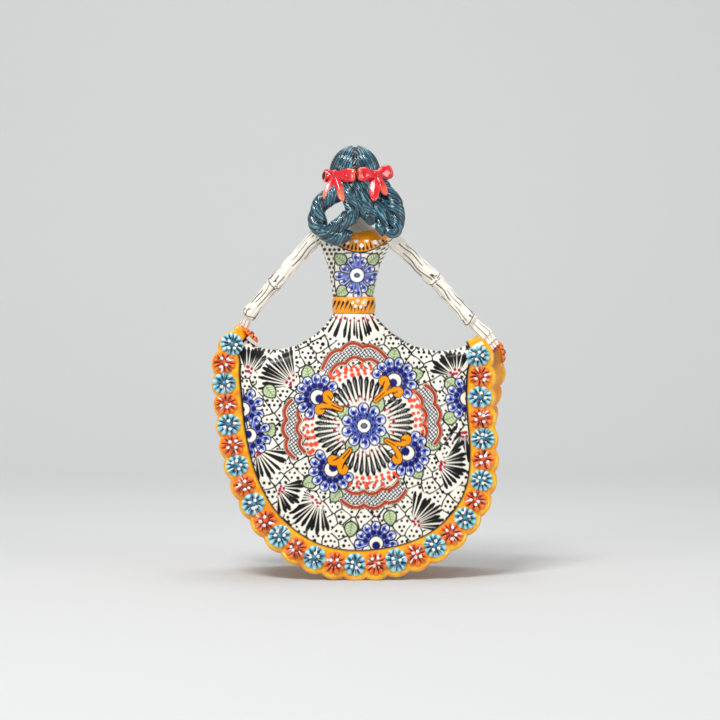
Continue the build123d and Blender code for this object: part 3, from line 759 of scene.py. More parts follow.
def skirt_panel(name, hem, painter, seed):
    """A slab of clay: a dense painted outside, a plain inside and square rims between them."""
    step, ribs, rows = 6, 120, 42
    s, t = hem.stations(2 * step, ribs * step + 1), np.linspace(0, 1, rows * step + 1)
    outer = panel_grid(hem, s, t)
    inner = (outer + grid_normals(outer) * WALL)[::step, ::step]
    uneven = (ripple(outer, 22, seed) * 0.22 + ripple(outer, 7, seed + 1) * 0.05)[..., None]
    down, round_hem = np.sin(PI * t), np.clip(np.sin(PI * s), 0, 1)
    fade = (down ** 0.3)[None, :, None] * round_hem[:, None, None] ** 0.3
    brush = Brush(outer[..., 0].ravel() * hem.side, outer[..., 2].ravel(), CREAM, seed)
    painter(brush)
    for edge in (outer[0], outer[-1]):
        run = run_along(edge)
        for place in np.arange(6, run[-1] - 4, 5.1):
            x, z = np.interp(place, run, edge[:, 0]) * hem.side, np.interp(place, run, edge[:, 2])
            brush.rough_spot(x + 0.4, z - 1.3, 1.25, BLACK)
    paint = brush.painted().reshape(outer.shape)
    rib_length = np.linalg.norm(np.diff(outer, axis=1), axis=-1).sum(1)
    from_edge = (1 - t)[None] * rib_length[:, None]
    paint = tint(paint, BLACK, smooth(1.9, 1.2, from_edge))
    relief = smooth(0.5, 0.12, paint.sum(-1) / 3) * 0.09
    outer = outer - grid_normals(outer) * (uneven * fade + relief[..., None])
    outer[0, :, 1] = outer[-1, :, 1] = 0

    plain = tint(CREAM, BARE_CLAY, 0.25 + 0.2 * ripple(inner, 30, seed + 2))
    clay = Clay()
    clay.slab(hem.faced(outer), hem.faced(inner), step, paint, plain)
    clay.piece(name, "skirt_painted_glaze")


def hem_ruffle(name, hem, seed):
    """A fluted scalloped strip with a rounded edge, ground flat where it stands."""
    s = hem.stations(10, 900)
    centre, out, face = hem.frame(s)
    first = hem.flower_share(0)
    phase = PI * (s - first) / (hem.flower_share(1) - first)
    wide = mix(*RUFFLE_OUT, s) + RUFFLE_LOW * np.sin(PI * s) ** 4
    wide = wide + SCALLOP * np.abs(np.cos(phase)) ** 0.8 - 0.2
    deep = hem.inner_width(s)
    half, flat, upper = RUFFLE_THICK / 2, 12, 14
    turn = np.linspace(-PI / 2, PI / 2, 13)[1:-1]
    across = np.concatenate([np.linspace(0, 1, flat), np.ones(len(turn)), np.linspace(1, 0, flat)])
    lift = np.concatenate([np.full(flat, half), half * np.sin(turn[::-1]), np.full(flat, -half)])
    rim = np.concatenate([np.zeros(flat), half * np.cos(turn), np.zeros(flat)])
    w = mix(-deep[:, None], (wide - half)[:, None], across[None]) + rim[None]
    outer_share = smooth(0.35, 1.0, across)[None]
    flute = 0.9 * np.cos(2 * phase)[:, None] * outer_share
    crown = 0.5 * np.sin(PI * across)[None] * np.sign(lift)[None]
    height = lift[None] + flute * np.sin(PI * np.clip(s, 0, 1))[:, None] ** 0.5 + crown * 0.6
    rings = centre[:, None] + out[:, None] * w[..., None] + face[:, None] * height[..., None]
    rings = rings + face[:, None] * (ripple(rings, 14, seed) * 0.10)[..., None]
    rings[..., 2] = np.maximum(rings[..., 2], 0)
    rings[0, :, 1] = rings[-1, :, 1] = 0
    rings[..., 1] = np.minimum(rings[..., 1], 0)
    shade = 0.5 + 0.5 * ripple(rings, 8, seed + 1) * 0.6 + 0.25 * np.cos(2 * phase)[:, None]
    paint = tint(AMBER, YELLOW, np.clip(shade + 0.35, 0, 1))
    line = smooth(2.0, 1.2, w + deep[:, None])[..., None] * (np.arange(w.shape[1]) < upper)[None, :, None]
    paint = mix(paint, BLACK, line)
    clay = Clay()
    clay.tube(hem.faced(rings), paint)
    clay.piece(name, "ruffle_yellow_glaze")


# ---------------------------------------------------------------- flowers
def flower_on(clay, origin, x_dir, z_dir, teal, seed):
    """A pressed rosette: parted petals, a dark button and raised dots of white slip."""
    rng = np.random.default_rng(seed)
    x_dir, z_dir = unit(np.array(x_dir, float)), unit(np.array(z_dir, float))
    y_dir = np.cross(z_dir, x_dir)
    petals, around, radius = rng.integers(9, 13), 132, 10.1 * rng.uniform(0.98, 1.03)
    turn = rng.uniform(0, 2 * PI)
    theta = full_turn(around)
    sweep = petals * theta / 2 + turn + 0.35 * np.sin(2 * theta + turn) + 0.2 * np.sin(3 * theta + 2 * turn)
    parting = np.abs(np.cos(sweep)) ** 0.45
    rho = np.concatenate([np.linspace(0.02, 1, 17), [1.0, 0.97]])
    edge = radius * (0.86 + 0.14 * parting)
    dome = 4.4 * np.sqrt(np.clip(1 - rho ** 2 * 0.86, 0, 1)) - 0.3
    dome[-2:] = 0.9, 0
    groove = (1 - parting[None]) * smooth(0.22, 0.55, rho)[:, None] * 1.35
    cup = 0.55 * np.exp(-((rho - 0.72) / 0.16) ** 2)[:, None] * parting[None]
    button = 1.15 * np.exp(-(rho / 0.2) ** 4) - 0.85 * np.exp(-((rho - 0.33) / 0.1) ** 2)
    height = dome[:, None] + button[:, None] - groove + cup
    height[-1] = 0
    reach = edge[None] * rho[:, None]
    flat = np.stack([reach * np.cos(theta), reach * np.sin(theta)], -1)
    main, light, dark = (TEAL, TEAL_HIGHLIGHT, TEAL_DARK) if teal else (ORANGE, ORANGE_HIGHLIGHT, RUST)
    vein = np.abs(np.sin(sweep))[None] ** (2.2 if teal else 3.2) * np.ones_like(rho)[:, None]
    # Painted highlight: the lighter colour along the raised middles of the petals, towards their rims.
    paint = tint(main, light, parting[None] ** 3 * smooth(0.45, 0.85, rho)[:, None])
    paint = tint(paint, dark, np.clip(vein * smooth(1.08, 0.5, rho)[:, None] * 1.5 - 0.12, 0, 0.97))
    paint = mix(paint, dark, (np.exp(-((rho - 0.33) / 0.13) ** 2) * 0.8)[:, None, None])
    paint = tint(paint, dark, 0.75 * smooth(0.5, 0.95, np.abs(np.cos(petals * theta + turn * 2)))[None]
                              * np.exp(-((rho - 0.55) / 0.16) ** 2)[:, None])
    paint = mix(paint, main, (np.exp(-(rho / 0.13) ** 4) * 0.6)[:, None, None])
    for k in range(9):
        angle, far = rng.uniform(0, 2 * PI), rng.uniform(0.5, 0.8)
        stroke = np.exp(-((theta[None] - angle) / 0.07) ** 2 - ((rho[:, None] - far) / 0.2) ** 2)
        paint = tint(paint, BLACK if k % 3 else WHITE, np.clip(stroke * 1.3, 0, 0.9))
    start = rng.uniform(0, 2 * PI)
    for k in range(rng.integers(3, 5)):
        spot = np.array(polar(0, 0, radius * rng.uniform(0.26, 0.5), start + k * rng.uniform(1.2, 1.8)))
        near = smooth(1.0, 0.6, np.linalg.norm(flat - spot, axis=-1) / 1.75)
        height = height + near * 0.8
        paint = tint(paint, WHITE, near)
    rings = origin + flat[..., :1] * 1.09 * x_dir + flat[..., 1:] * y_dir + height[..., None] * z_dir
    clay.tube(rings, paint)


def hem_flower(clay, hem, index, seed):
    """One pressed flower on the hem: the even ones are teal."""
    centre, out, face = (v[0] for v in hem.frame(np.array([hem.flower_share(index)])))
    origin = hem.faced(centre + face * (RUFFLE_LIFT + SLIP))
    flower_on(clay, origin, hem.faced(out), hem.faced(face), index % 2 == 0, seed)


# ---------------------------------------------------------------- body
def loft(levels, rows, around):
    """Rings of ellipses through levels given as (z, x, half width, half depth)."""
    levels = np.array(levels, float)
    z = np.linspace(levels[0, 0], levels[-1, 0], rows)
    x, half_x, half_y = (natural_spline(levels[:, 0], levels[:, k], z) for k in (1, 2, 3))
    turn = full_turn(around)
    return np.stack([x[:, None] + half_x[:, None] * np.cos(turn), half_y[:, None] * np.sin(turn),
                     np.repeat(z[:, None], around, 1)], -1)


def paint_bodice(brush, side):
    """One side of the bodice: dots, a blue flower among leaves, and the orange yoke with its fringe."""
    cx, cz = -2.3, 279
    for row, z in enumerate(np.arange(260, 312, 4.3)):
        for x in np.arange(-37 + (row % 2) * 2.2, 34, 4.5):
            if side > 0 and x > 8:
                brush.stroke((x - 1.8, z - 0.8), (x + 1.8, z + 1.2), 0.9, 1.7, BLACK)
            else:
                brush.rough_spot(x, z, 1.5, BLACK)
    rim = [polar(cx, cz, 22.5 + 2.0 * math.cos(4 * a + PI), a) for a in np.linspace(0, 2 * PI, 49)]
    brush.patch(rim, CREAM, BLACK, 1.2)
    for dx, dz, heading in ((-15.5, 15, 140), (15.5, 15, 40), (-14, -15, 220), (14, -15, -40)):
        paint_leaf(brush, cx + dx, cz + dz, 13, math.radians(heading))
    paint_flower(brush, cx, cz, 15.5, 8, 0.2)
    for k in range(4):
        a = k * PI / 2
        paint_petals(brush, cx, cz, 17.5, (a - 0.42, a + 0.42), 3.6)
        paint_petals(brush, cx, cz, 21.5, (a,), 4.0)
    brush.spots(cx, cz, (7.4, NAVY), (6.3, WHITE), (2.9, NAVY, 0.8), (1.4, GREY, 0.7))
    half, rise = 29, 13
    arc = [(x, 300.5 + rise * (x / half) ** 2) for x in np.linspace(-half, half, 25)]
    brush.patch(arc + [(half, 330), (-half, 330)], BAND)
    brush.line(arc, 1.3, BLACK)
    for k, x in enumerate(np.arange(-22, 23, 3.7)):
        low = 301.5 + rise * (x / half) ** 2
        brush.drop((x * 0.80, low + 6.8 + 1.8 * (k % 2)), (x, low + 0.9), 2.3, BLACK)
    for x, z in ((-3.2, 311), (6.5, 311.5), (1.9, 306.8), (-11, 309.3), (14, 309.8)):
        brush.spot(x, z, 2.0, WHITE)


def paint_band(brush):
    """Slanted black drops and a cluster of white dots."""
    for x in np.arange(-26, 17, 3.9):
        if not -9 < x < 4:
            brush.drop((x, 246.5), (x + 3.6, 254.8), 2.3, BLACK)
    for x in np.arange(-8, 5, 3.2):
        brush.drop((x, 245), (x + 1.0, 250), 1.6, BLACK)
    for x, z in ((-6.4, 253.6), (-1.6, 255.6), (3.2, 253.8), (-3.6, 250.4), (1.2, 249.8)):
        brush.spot(x, z, 1.5, WHITE)


def waist_band():
    """A belt turned round the waist, with rounded lips."""
    lip, inside, outside, top = 2.2, -5.0, 1.0, BAND_TOP_Z - WAIST_Z
    middle = outside - lip
    corner = np.linspace(0, PI / 2, 7)
    section = [(inside, 0), (middle, 0)] \
        + [(middle + lip * math.sin(a), lip - lip * math.cos(a)) for a in corner] \
        + [(outside + 0.35 * math.sin(PI * k / 14), mix(lip, top - lip, k / 14)) for k in range(1, 14)] \
        + [(middle + lip * math.cos(a), top - lip + lip * math.sin(a)) for a in corner] \
        + [(inside, top)]
    around = full_turn(180)
    middle_x = BODY_X - WAIST_SHIFT
    points = np.array([(middle_x + (WAIST_HALF_X + w) * math.cos(a), (WAIST_HALF_Y + w) * math.sin(a),
                        WAIST_Z + z) for a in around for w, z in section])
    n, m = len(around), len(section)
    i, j = np.arange(n)[:, None], np.arange(m)[None]
    next_i, next_j = (i + 1) % n, (j + 1) % m
    corners = i * m + j, next_i * m + j, next_i * m + next_j, i * m + next_j
    quads = np.stack(corners, -1).reshape(-1, 4)
    brush = Brush(points[:, 0], points[:, 2], BAND, 41)
    paint_band(brush)
    clay = Clay()
    clay.add(points, quads, [], brush.painted())
    clay.piece("waist_band", "band_orange_glaze")


def bodice():
    """The bodice, painted behind and in front by the same hand."""
    rings = loft([(BAND_TOP_Z, -6, 19, 15), (274, -5.6, 21.5, 16.5), (290, -5.2, 25.5, 18.5),
                  (303, -4.4, 31, 20), (BODICE_TOP_Z, -3.8, 33, 19)], 120, 300)
    painted = []
    for side in (1, -1):
        brush = Brush(rings[..., 0].ravel() * side - (side < 0) * 4.6, rings[..., 2].ravel(), CREAM, 43)
        paint_bodice(brush, side)
        painted.append(brush.painted().reshape(rings.shape))
    paint = np.where(rings[..., 1:2] < 0, *painted)
    clay = Clay()
    clay.tube(rings + (ripple(rings, 12, 9) * 0.2)[..., None] * unit(rings * np.array((1, 1, 0))), paint)
    clay.piece("bodice", "bodice_painted_glaze")


def neck_and_shoulders():
    """The bare neck, with the yoke of the bodice laid over the shoulders."""
    rings = loft([(BODICE_TOP_Z, -3.8, 32, 18), (319, -3.9, 25, 14.5), (326, -4, 13, 11),
                  (334, -4.1, 9.5, 9.5), (352, -4.2, 9, 9)], 90, 200)
    rings[..., :2] = rings[..., :2] + (ripple(rings, 9, 12) * 0.2)[..., None] * unit(rings[..., :2])
    warm = np.clip(0.35 + 0.3 * ripple(rings, 10, 13), 0, 0.8)
    paint = tint(np.broadcast_to(BONE, rings.shape), BONE_WARM, warm)
    yoke = smooth(319.5, 318, rings[..., 2] - 0.012 * (rings[..., 0] + 4) ** 2)
    clay = Clay()
    clay.tube(rings, tint(paint, BAND, yoke))
    clay.piece("neck_and_shoulders", "bone_cream_glaze")


# ---------------------------------------------------------------- bones
def bone(clay, start, end, knob, shaft, seed):
    """A carved bone: furrows along it, swelling ends that overlap the next bone, and black lines."""
    overlap = 3.5
    start, end = np.array(start, float), np.array(end, float)
    start, end = start - unit(end - start) * overlap, end + unit(end - start) * overlap
    length = np.linalg.norm(end - start)
    rows, around = int(length / 0.5), 96
    t = np.linspace(0, 1, rows)
    line = start + np.outer(t, end - start)
    u = t * length
    swell = np.exp(-(u / (knob * 1.5)) ** 2) + np.exp(-((length - u) / (knob * 1.5)) ** 2)
    profile = shaft + (knob - shaft) * swell + 0.25 * np.sin(u * 0.45 + seed)
    profile = profile * np.sqrt(np.clip(np.minimum(u, length - u) / 2.2 + 0.25, 0, 1))
    theta = full_turn(around)
    wander = theta[None] + 0.10 * np.sin(u * 0.21 + seed)[:, None]
    furrow = np.abs(np.cos(5 * wander + 0.7 * np.sin(u * 0.13 + seed)[:, None])) ** 0.45
    lobed = (1 + 0.09 * swell[:, None] * np.cos(2 * theta)[None]) * (0.90 + 0.13 * furrow)
    rings = tube_round(line, (0, 1, 0), theta, profile[:, None] * lobed)
    rings = rings + (ripple(rings, 8, seed) * 0.18)[..., None] * unit(rings - line[:, None])
    girth = 2 * PI * shaft
    arc = (wander % (2 * PI)) * shaft
    brush = Brush(np.repeat(u[:, None], around, 1).ravel(), arc.ravel(), BONE, seed)
    rng = np.random.default_rng(seed)
    for k in range(10):
        v = girth * (k + 0.5) / 10
        a = rng.uniform(2, length * 0.35)
        while a < length - 8:
            b = min(a + rng.uniform(0.25, 0.6) * length, length - 2)
            drift = rng.normal(0, 1.0)
            mark = [(a, v), (mix(a, b, 0.5), v + drift), (b, v + drift * 0.3)]
            brush.line(mark, rng.uniform(0.6, 1.05), BLACK)
            a = b + rng.uniform(0.1, 0.35) * length
    for k in range(12):
        near, v = (3, length - 3)[k % 2], rng.uniform(0, girth)
        reach = rng.uniform(3, 8) * (1, -1)[k % 2]
        brush.drop((near, v), (near + reach, v + rng.normal(0, 1.2)), rng.uniform(0.8, 1.5), BLACK)
    for place in (3.2, length - 3.2):
        brush.line([(place + 1.6 * math.sin(v * 0.35), v) for v in np.linspace(0, girth, 24)], 0.9, BLACK)
    clay.tube(rings, brush.painted())


def finger_on(clay, root, middle, tip):
    """A thin finger bone with knuckles and a painted nail."""
    line, _ = path_through([root, middle, tip], 44)
    u = np.linspace(0, 1, 44)
    knuckles = 0.22 * np.exp(-((u - 0.06) / 0.1) ** 2), 0.22 * np.exp(-((u - 0.5) / 0.09) ** 2)
    profile = FINGER_RADIUS * (0.82 + knuckles[0] + knuckles[1] - 0.12 * u)
    profile = profile * np.sqrt(np.clip(np.minimum(u, 1 - u) / 0.07 + 0.05, 0, 1))
    rings = tube_round(line, (0.1, 1, 0.05), full_turn(20), profile[:, None])
    paint = np.broadcast_to(BONE, rings.shape)
    paint = mix(paint, BLACK, (np.exp(-((u - 0.52) / 0.03) ** 2) * 0.85)[:, None, None])
    paint = mix(paint, BLACK, (np.exp(-((u - 0.13) / 0.022) ** 2) * 0.7)[:, None, None])
    paint = mix(paint, CRIMSON, smooth(0.79, 0.83, u)[:, None, None])
    clay.tube(rings, paint)


def hand(which, side_name):
    """A ribbed palm, four fingers and a thumb."""
    wrist, knuckles, tips = (np.array(p[which], float) for p in (WRISTS, KNUCKLES, FINGERTIPS))
    spread = unit(np.array(ACROSS_HANDS[which], float))
    clay = Clay()
    line = wrist + np.outer(np.linspace(-0.12, 1.06, 30), knuckles - wrist)
    along = unit(knuckles - wrist)
    across = unit(spread - along * (spread @ along))
    thick = np.cross(along, across)
    u = np.linspace(0, 1, 30)
    theta = full_turn(48)
    closing = np.sqrt(np.clip(np.minimum(u, 1 - u) / 0.1 + 0.1, 0, 1))
    half, deep = mix(4.7, 7.2, u) * closing, mix(4.1, 3.3, u) * closing
    ribs = 1 + 0.12 * np.cos(8 * theta)[None] * smooth(0.2, 0.7, u)[:, None]
    rings = line[:, None] + across * (half[:, None] * np.cos(theta))[..., None] \
        + thick * (deep[:, None] * np.sin(theta) * ribs)[..., None]
    lines = smooth(0.9, 0.99, np.abs(np.cos(4 * theta)))[None] * smooth(0.25, 0.4, u)[:, None] * 0.9
    paint = tint(np.broadcast_to(BONE, rings.shape), BLACK, lines)
    clay.tube(rings, paint)
    for place in (-1.5, -0.5, 0.5, 1.5):
        root, tip = knuckles + spread * place * 3.4 - along * 1.5, tips + spread * place * 3.1
        bend = mix(root, tip, 0.5) + thick * (0.8 if which else -0.8)
        finger_on(clay, root, bend, tip)
    beside = spread * 9 if which == 0 else np.array((-4.5, 4.5, 2.0))
    root = mix(wrist, knuckles, 0.35) + beside * 0.5
    tip = mix(knuckles, tips, 0.3) + beside
    finger_on(clay, root, mix(root, tip, 0.5) + beside * 0.1, tip)
    clay.piece(f"{side_name}_hand", "bone_cream_glaze")


# ---------------------------------------------------------------- head
def skull_distance(p):
    """Signed distance, roughly, to a skull with sockets, nose and cheeks."""
    def ball(x, y, z, rx, ry, rz):
        """Distance to an ellipsoid, shortest along its least radius."""
        q = (p - np.array((x, y, z))) / np.array((rx, ry, rz))
        return (np.linalg.norm(q, axis=-1) - 1) * min(rx, ry, rz)

    def blend(a, b, k):
        """The nearer of two shapes, joined with a fillet about k wide."""
        h = np.clip(0.5 + 0.5 * (b - a) / k, 0, 1)
        return b * (1 - h) + a * h - k * h * (1 - h)

    body = blend(ball(HEAD_X, 0, SKULL_Z, 22, 22, 26), ball(HEAD_X, 8, SKULL_Z - 19, 13, 13, 13), 4)
    for side in (-1, 1):
        body = blend(body, ball(HEAD_X + side * 12.5, 13.5, SKULL_Z - 8, 5, 5, 4), 4)
        body = -blend(-body, ball(HEAD_X + side * EYE_X, 21.5, SKULL_Z, 5.4, 6, 5.8), 1.6)
        body = -blend(-body, ball(HEAD_X + side * 1.7, 22.6, SKULL_Z - 9.5, 1.7, 3.2, 3.2), 0.8)
    return body


def skull_piece():
    """The skull, found along rays from its middle, with a painted calavera face."""
    centre = np.array((HEAD_X, 2, SKULL_Z - 4))
    direction = sphere(np.linspace(0.03, PI - 0.03, 150)[:, None], full_turn(260))
    low, high = np.full(direction.shape[:2], 6.0), np.full(direction.shape[:2], 40.0)
    for _ in range(22):
        middle = (low + high) / 2
        within = skull_distance(centre + direction * middle[..., None]) < 0
        low, high = np.where(within, middle, low), np.where(within, high, middle)
    points = centre + direction * low[..., None]
    brush = Brush(points[..., 0].ravel(), points[..., 2].ravel(), BONE, 31)
    for side in (-1, 1):
        x = HEAD_X + side * EYE_X
        for k in range(12):
            dot = TEAL if k % 2 else CRIMSON
            brush.spots(*polar(x, SKULL_Z, 7.1, 2 * PI * k / 12), (1.55, NAVY), (1.2, dot))
        brush.spot(x, SKULL_Z, 5.5, BLACK)
        brush.spot(HEAD_X + side * 1.9, SKULL_Z - 9.6, 1.9, BLACK, 1.7)
        for k in range(5):
            brush.spot(*polar(HEAD_X + side * 11, SKULL_Z - 12.5, 2.3, 2 * PI * k / 5), 1.1, CRIMSON)
        brush.spot(HEAD_X + side * 11, SKULL_Z - 12.5, 1.1, AMBER)
    for k in range(6):
        brush.spot(*polar(HEAD_X, SKULL_Z + 12, 2.6, 2 * PI * k / 6), 1.3, TEAL)
    brush.spot(HEAD_X, SKULL_Z + 12, 1.4, AMBER)
    for side in (-1, 1):
        brush.drop((HEAD_X + side * 6, SKULL_Z + 12), (HEAD_X + side * 13, SKULL_Z + 9), 1.8, COBALT)
    def mouth(x):
        return SKULL_Z - 19.5 + 0.02 * x * x

    brush.line([(HEAD_X + x, mouth(x)) for x in np.linspace(-10, 10, 15)], 0.8, BLACK)
    for x in np.arange(-8, 8.1, 2):
        z = mouth(x)
        brush.line([(HEAD_X + x, z - 2.3), (HEAD_X + x, z + 2.3)], 0.6, BLACK)
    facing = smooth(2, 8, points[..., 1])[..., None]
    paint = mix(np.broadcast_to(BONE, points.shape), brush.painted().reshape(points.shape), facing)
    clay = Clay()
    clay.tube(points, paint)
    clay.piece("skull", "bone_cream_glaze")


def hair_paint(grooves, points, seed):
    """Dark in the cuts, partly the dark lines between the strands and partly painted shade, and a painted
    highlight along the combed ridges.
    """
    # Painted highlight along the combed ridges.
    ridge_highlight = smooth(0.72, 1.0, grooves) * (0.42 + 0.3 * ripple(points, 6, seed))
    paint = tint(HAIR, HAIR_HIGHLIGHT, np.clip(ridge_highlight, 0, 0.85))
    # Painted shade in the cuts, together with the dark lines between the strands.
    paint = tint(paint, HAIR_DARK, 0.95 * smooth(0.72, 0.32, grooves))
    return tint(paint, HAIR_DARK, np.clip(0.35 * ripple(points, 14, seed + 1) - 0.05, 0, 0.5))


def hair_cap():
    """The combed hair over the skull, parted at the back and cut to a fringe in front."""
    rows, around = 120, 340
    theta = full_turn(around)
    to_front = np.abs(((theta - PI / 2 + PI) % (2 * PI)) - PI)
    lowest = mix(HAIR_Z + 12, NAPE_Z, smooth(math.radians(54), math.radians(70), to_front))
    phi_end = np.arccos((lowest - HAIR_Z) / HAIR_HALF_HEIGHT)
    phi = np.linspace(0.02, 1, rows)[:, None] * phi_end[None]
    direction = sphere(phi, theta)
    middle, size = np.array((HEAD_X, 0, HAIR_Z)), np.array((HAIR_RADIUS, HAIR_RADIUS, HAIR_HALF_HEIGHT))
    points = middle + direction * (size - 0.35)
    crown = unit(np.array((0, 0.35, 1)))
    a_dir, b_dir = np.array((1.0, 0, 0)), np.cross(crown, (1.0, 0, 0))
    strand = np.arctan2(np.abs(direction @ a_dir), -(direction @ b_dir)) * 24 + 1.1 * ripple(points, 13, 3) \
        - 11 * np.arccos(np.clip(direction[..., 2], -1, 1))
    away = np.sqrt(np.clip(1 - (direction @ crown) ** 2, 0, 1))
    below = smooth(-0.12, -0.3, direction[..., 2])
    strand = mix(strand, points[..., 0] * 2.2 + 0.6 * np.sin(points[..., 2] * 0.3), below)
    grooves = np.abs(np.cos(strand)) ** 0.6 * 0.75 + 0.25 * np.abs(np.cos(strand * 0.37 + 0.4))
    grooves = mix(0.75, grooves, smooth(0.03, 0.15, away))
    parting = smooth(2.4, 1.8, np.abs(points[..., 0] - HEAD_X)) * smooth(-0.08, 0.02, direction[..., 2])
    depth = 1.25 * (1 - grooves) + 1.3 * parting
    outer = points - direction * depth[..., None]
    paint = hair_paint(grooves, points, 11)
    # Painted shade: the hair darker towards the -X side of the head.
    paint = tint(paint, HAIR_DARK, 0.55 * smooth(-9, -17, points[..., 0] - HEAD_X))
    paint = mix(paint, BLACK, parting[..., None] * 0.95)
    inner = middle + direction[::-1] * (size - 2.9)
    clay = Clay()
    inside = np.broadcast_to(HAIR_DARK, inner.shape)
    clay.tube(np.concatenate([outer, inner]), np.concatenate([paint, inside]))
    clay.piece("hair_cap", "hair_teal_glaze", sharp=80)


def braid(clay, radius, points, strands, turns, seed):
    """Two or three ropes of combed hair twisted together along a line."""
    line, _ = path_through(points, 210)
    u = np.linspace(0, 1, len(line))
    theta = full_turn(108)
    twist = theta[None] + 2 * PI * turns * u[:, None] + 0.15 * ripple(line, 20, seed)[:, None]
    lobes = np.abs(np.cos(strands * twist / 2)) ** 0.6
    comb = strands * 5 * twist / 2 + 1.2 * np.sin(u * 11 + seed)[:, None]
    fine = np.abs(np.cos(comb)) ** 0.6 * 0.75 + 0.25 * np.abs(np.cos(comb * 0.43 + seed))
    body = radius * (1 + 0.07 * np.sin(u * PI * 6 + seed)) * (1 - 0.5 * smooth(0.82, 1, u))
    body = body * np.sqrt(np.clip(np.minimum(u / 0.03, (1 - u) / 0.05) + 0.05, 0, 1))
    rings = tube_round(line, (0, -1, 0.2), theta, body[:, None] * (0.70 + 0.27 * lobes + 0.13 * fine))
    grooves = np.clip(fine * 0.85 + 0.25 * lobes - 0.1, 0, 1) * smooth(0.05, 0.5, lobes)
    clay.tube(rings, hair_paint(grooves, rings, seed))


def bow_paint(points, rim, seed):
    """Uneven red with a paler rim."""
    paint = tint(RED, RED_DARK, np.clip(0.25 * ripple(points, 5, seed) + 0.02, 0, 0.4))
    return tint(paint, SALMON, np.clip(rim + 0.06 * ripple(points, 4, seed + 1), 0, 1))


def ribbon_loop(clay, knot, end, half_width, seed, hollow):
    """A swelling loop of ribbon with a pinched root and, where it is open, a mouth whose hollow is painted
    dark as shade.
    """
    knot, end = np.array(knot, float), np.array(end, float)
    along = unit(end - knot)
    up = unit(np.array((0, 0.25, 1.0)) - along * (along @ np.array((0, 0.25, 1.0))))
    side = np.cross(along, up)
    length = np.linalg.norm(end - knot)
    t = np.concatenate([np.linspace(0, 1, 34), [1.01, 1.0, 0.95, 0.86, 0.8]])
    grow = np.interp(t, (0, 0.25, 0.62, 0.9, 1.01), (0.42, 0.66, 1.0, 0.93, 0.80))
    scale = grow.copy()
    scale[34:] = (0.74, 0.6, 0.52, 0.4, 0.05) if hollow else (0.7, 0.55, 0.4, 0.25, 0.05)
    if not hollow:
        t[34:] = 1.03, 1.05, 1.06, 1.065, 1.068
    theta = full_turn(56)
    fold = 1 + 0.07 * np.cos(4 * theta + 1)[None] * smooth(0.9, 0.1, t)[:, None]
    thick = np.interp(t, (0, 0.3, 0.7, 1), (2.3, 3.5, 3.9, 3.2))
    tall = half_width * scale
    flat = thick * np.minimum(scale / grow, 1)
    rings = knot + (t * length)[:, None, None] * along + fold[..., None] * (
        (tall[:, None] * np.cos(theta))[..., None] * up + (flat[:, None] * np.sin(theta))[..., None] * side)
    rings = rings + (ripple(rings, 5, seed) * 0.22)[..., None] * side
    if hollow:
        facing = -(np.sin(theta) * side[1])
        slant = smooth(0.45, 1.0, t)[:, None] * (0.5 + 0.5 * facing / np.abs(facing).max())[None]
        rings = rings - along * (slant * length * 0.42)[..., None]
    rim = np.zeros(rings.shape[:2])
    rim[30:36] = 0.85 if hollow else 0.45
    edges = 0.35 * smooth(0.86, 0.98, np.abs(np.cos(theta)))[None] * smooth(0.3, 0.6, t)[:, None]
    rim = np.maximum(rim, edges)
    paint = bow_paint(rings, rim, seed)
    # Painted shade: the hollow inside the open mouth nearly black.
    if hollow:
        paint[36:] = RED_DARK * 0.35
    clay.tube(rings, paint)


def ribbon_tail(clay, knot, tip, width, seed, pale):
    """A tail with a raised middle and a slanted, pointed end."""
    knot, tip = np.array(knot, float), np.array(tip, float)
    line, _ = path_through([knot, mix(knot, tip, 0.5) + np.array((0, -1.2, 0.4)), tip], 48)
    tangent = unit(np.gradient(line, axis=0))
    out = unit(np.cross(tangent, np.cross(np.array((0.0, -1.0, 0.0)), tangent)))
    side = np.cross(out, tangent)
    u = np.linspace(0, 1, 48)
    half = width / 2 * np.interp(u, (0, 0.2, 0.55, 0.85, 0.95, 1), (0.7, 0.85, 1, 0.74, 0.42, 0.08))
    theta = full_turn(40)
    flat = np.sign(np.cos(theta)) * np.abs(np.cos(theta)) ** 0.8
    deep = 1.25 * np.sin(theta)
    crease = 0.45 * np.exp(-(np.cos(theta) / 0.22) ** 2) * np.sign(np.sin(theta))
    rings = line[:, None] + side[:, None] * (half[:, None] * flat)[..., None] \
        + out[:, None] * ((deep + crease)[None] * np.clip(half / 1.5, 0.1, 1)[:, None])[..., None]
    rim = np.abs(flat)[None] ** 8 * 0.5 + pale * smooth(0.4, 0.8, u)[:, None]
    clay.tube(rings, bow_paint(rings, np.clip(rim, 0, 0.95), seed))


def bow(side_name, knot, loops, tails, seed):
    """A knot, loops given as (end, half width, open or not) and tails as (tip, width, paleness)."""
    from_pole, turn = np.linspace(0.06, PI - 0.06, 30)[:, None], full_turn(48)
    folds = 1 + 0.06 * np.cos(7 * turn) * np.sin(from_pole)
    ball = np.array(knot) + sphere(from_pole, turn) * np.array((4.3, 4.3, 5.0)) * folds[..., None]
    clay = Clay()
    clay.tube(ball, bow_paint(ball, np.zeros(ball.shape[:2]), seed))
    clay.piece(f"{side_name}_bow_knot", "bow_red_glaze")
    clay = Clay()
    for k, (end, half_width, hollow) in enumerate(loops):
        ribbon_loop(clay, knot, end, half_width, seed + k, hollow)
    clay.piece(f"{side_name}_bow_loops", "bow_red_glaze")
    clay = Clay()
    for k, (tip, width, pale) in enumerate(tails):
        ribbon_tail(clay, knot, tip, width, seed + 5 + k, pale)
    clay.piece(f"{side_name}_bow_tails", "bow_red_glaze")


# ---------------------------------------------------------------- the pieces
hem_back, hem_front = Hem(HEM_BACK, 1), Hem(HEM_FRONT, -1)
skirt_panel("skirt_back_shell", hem_back, paint_back, 5)
skirt_panel("skirt_front_shell", hem_front, paint_front, 8)
hem_ruffle("hem_ruffle_back", hem_back, 21)
hem_ruffle("hem_ruffle_front", hem_front, 22)

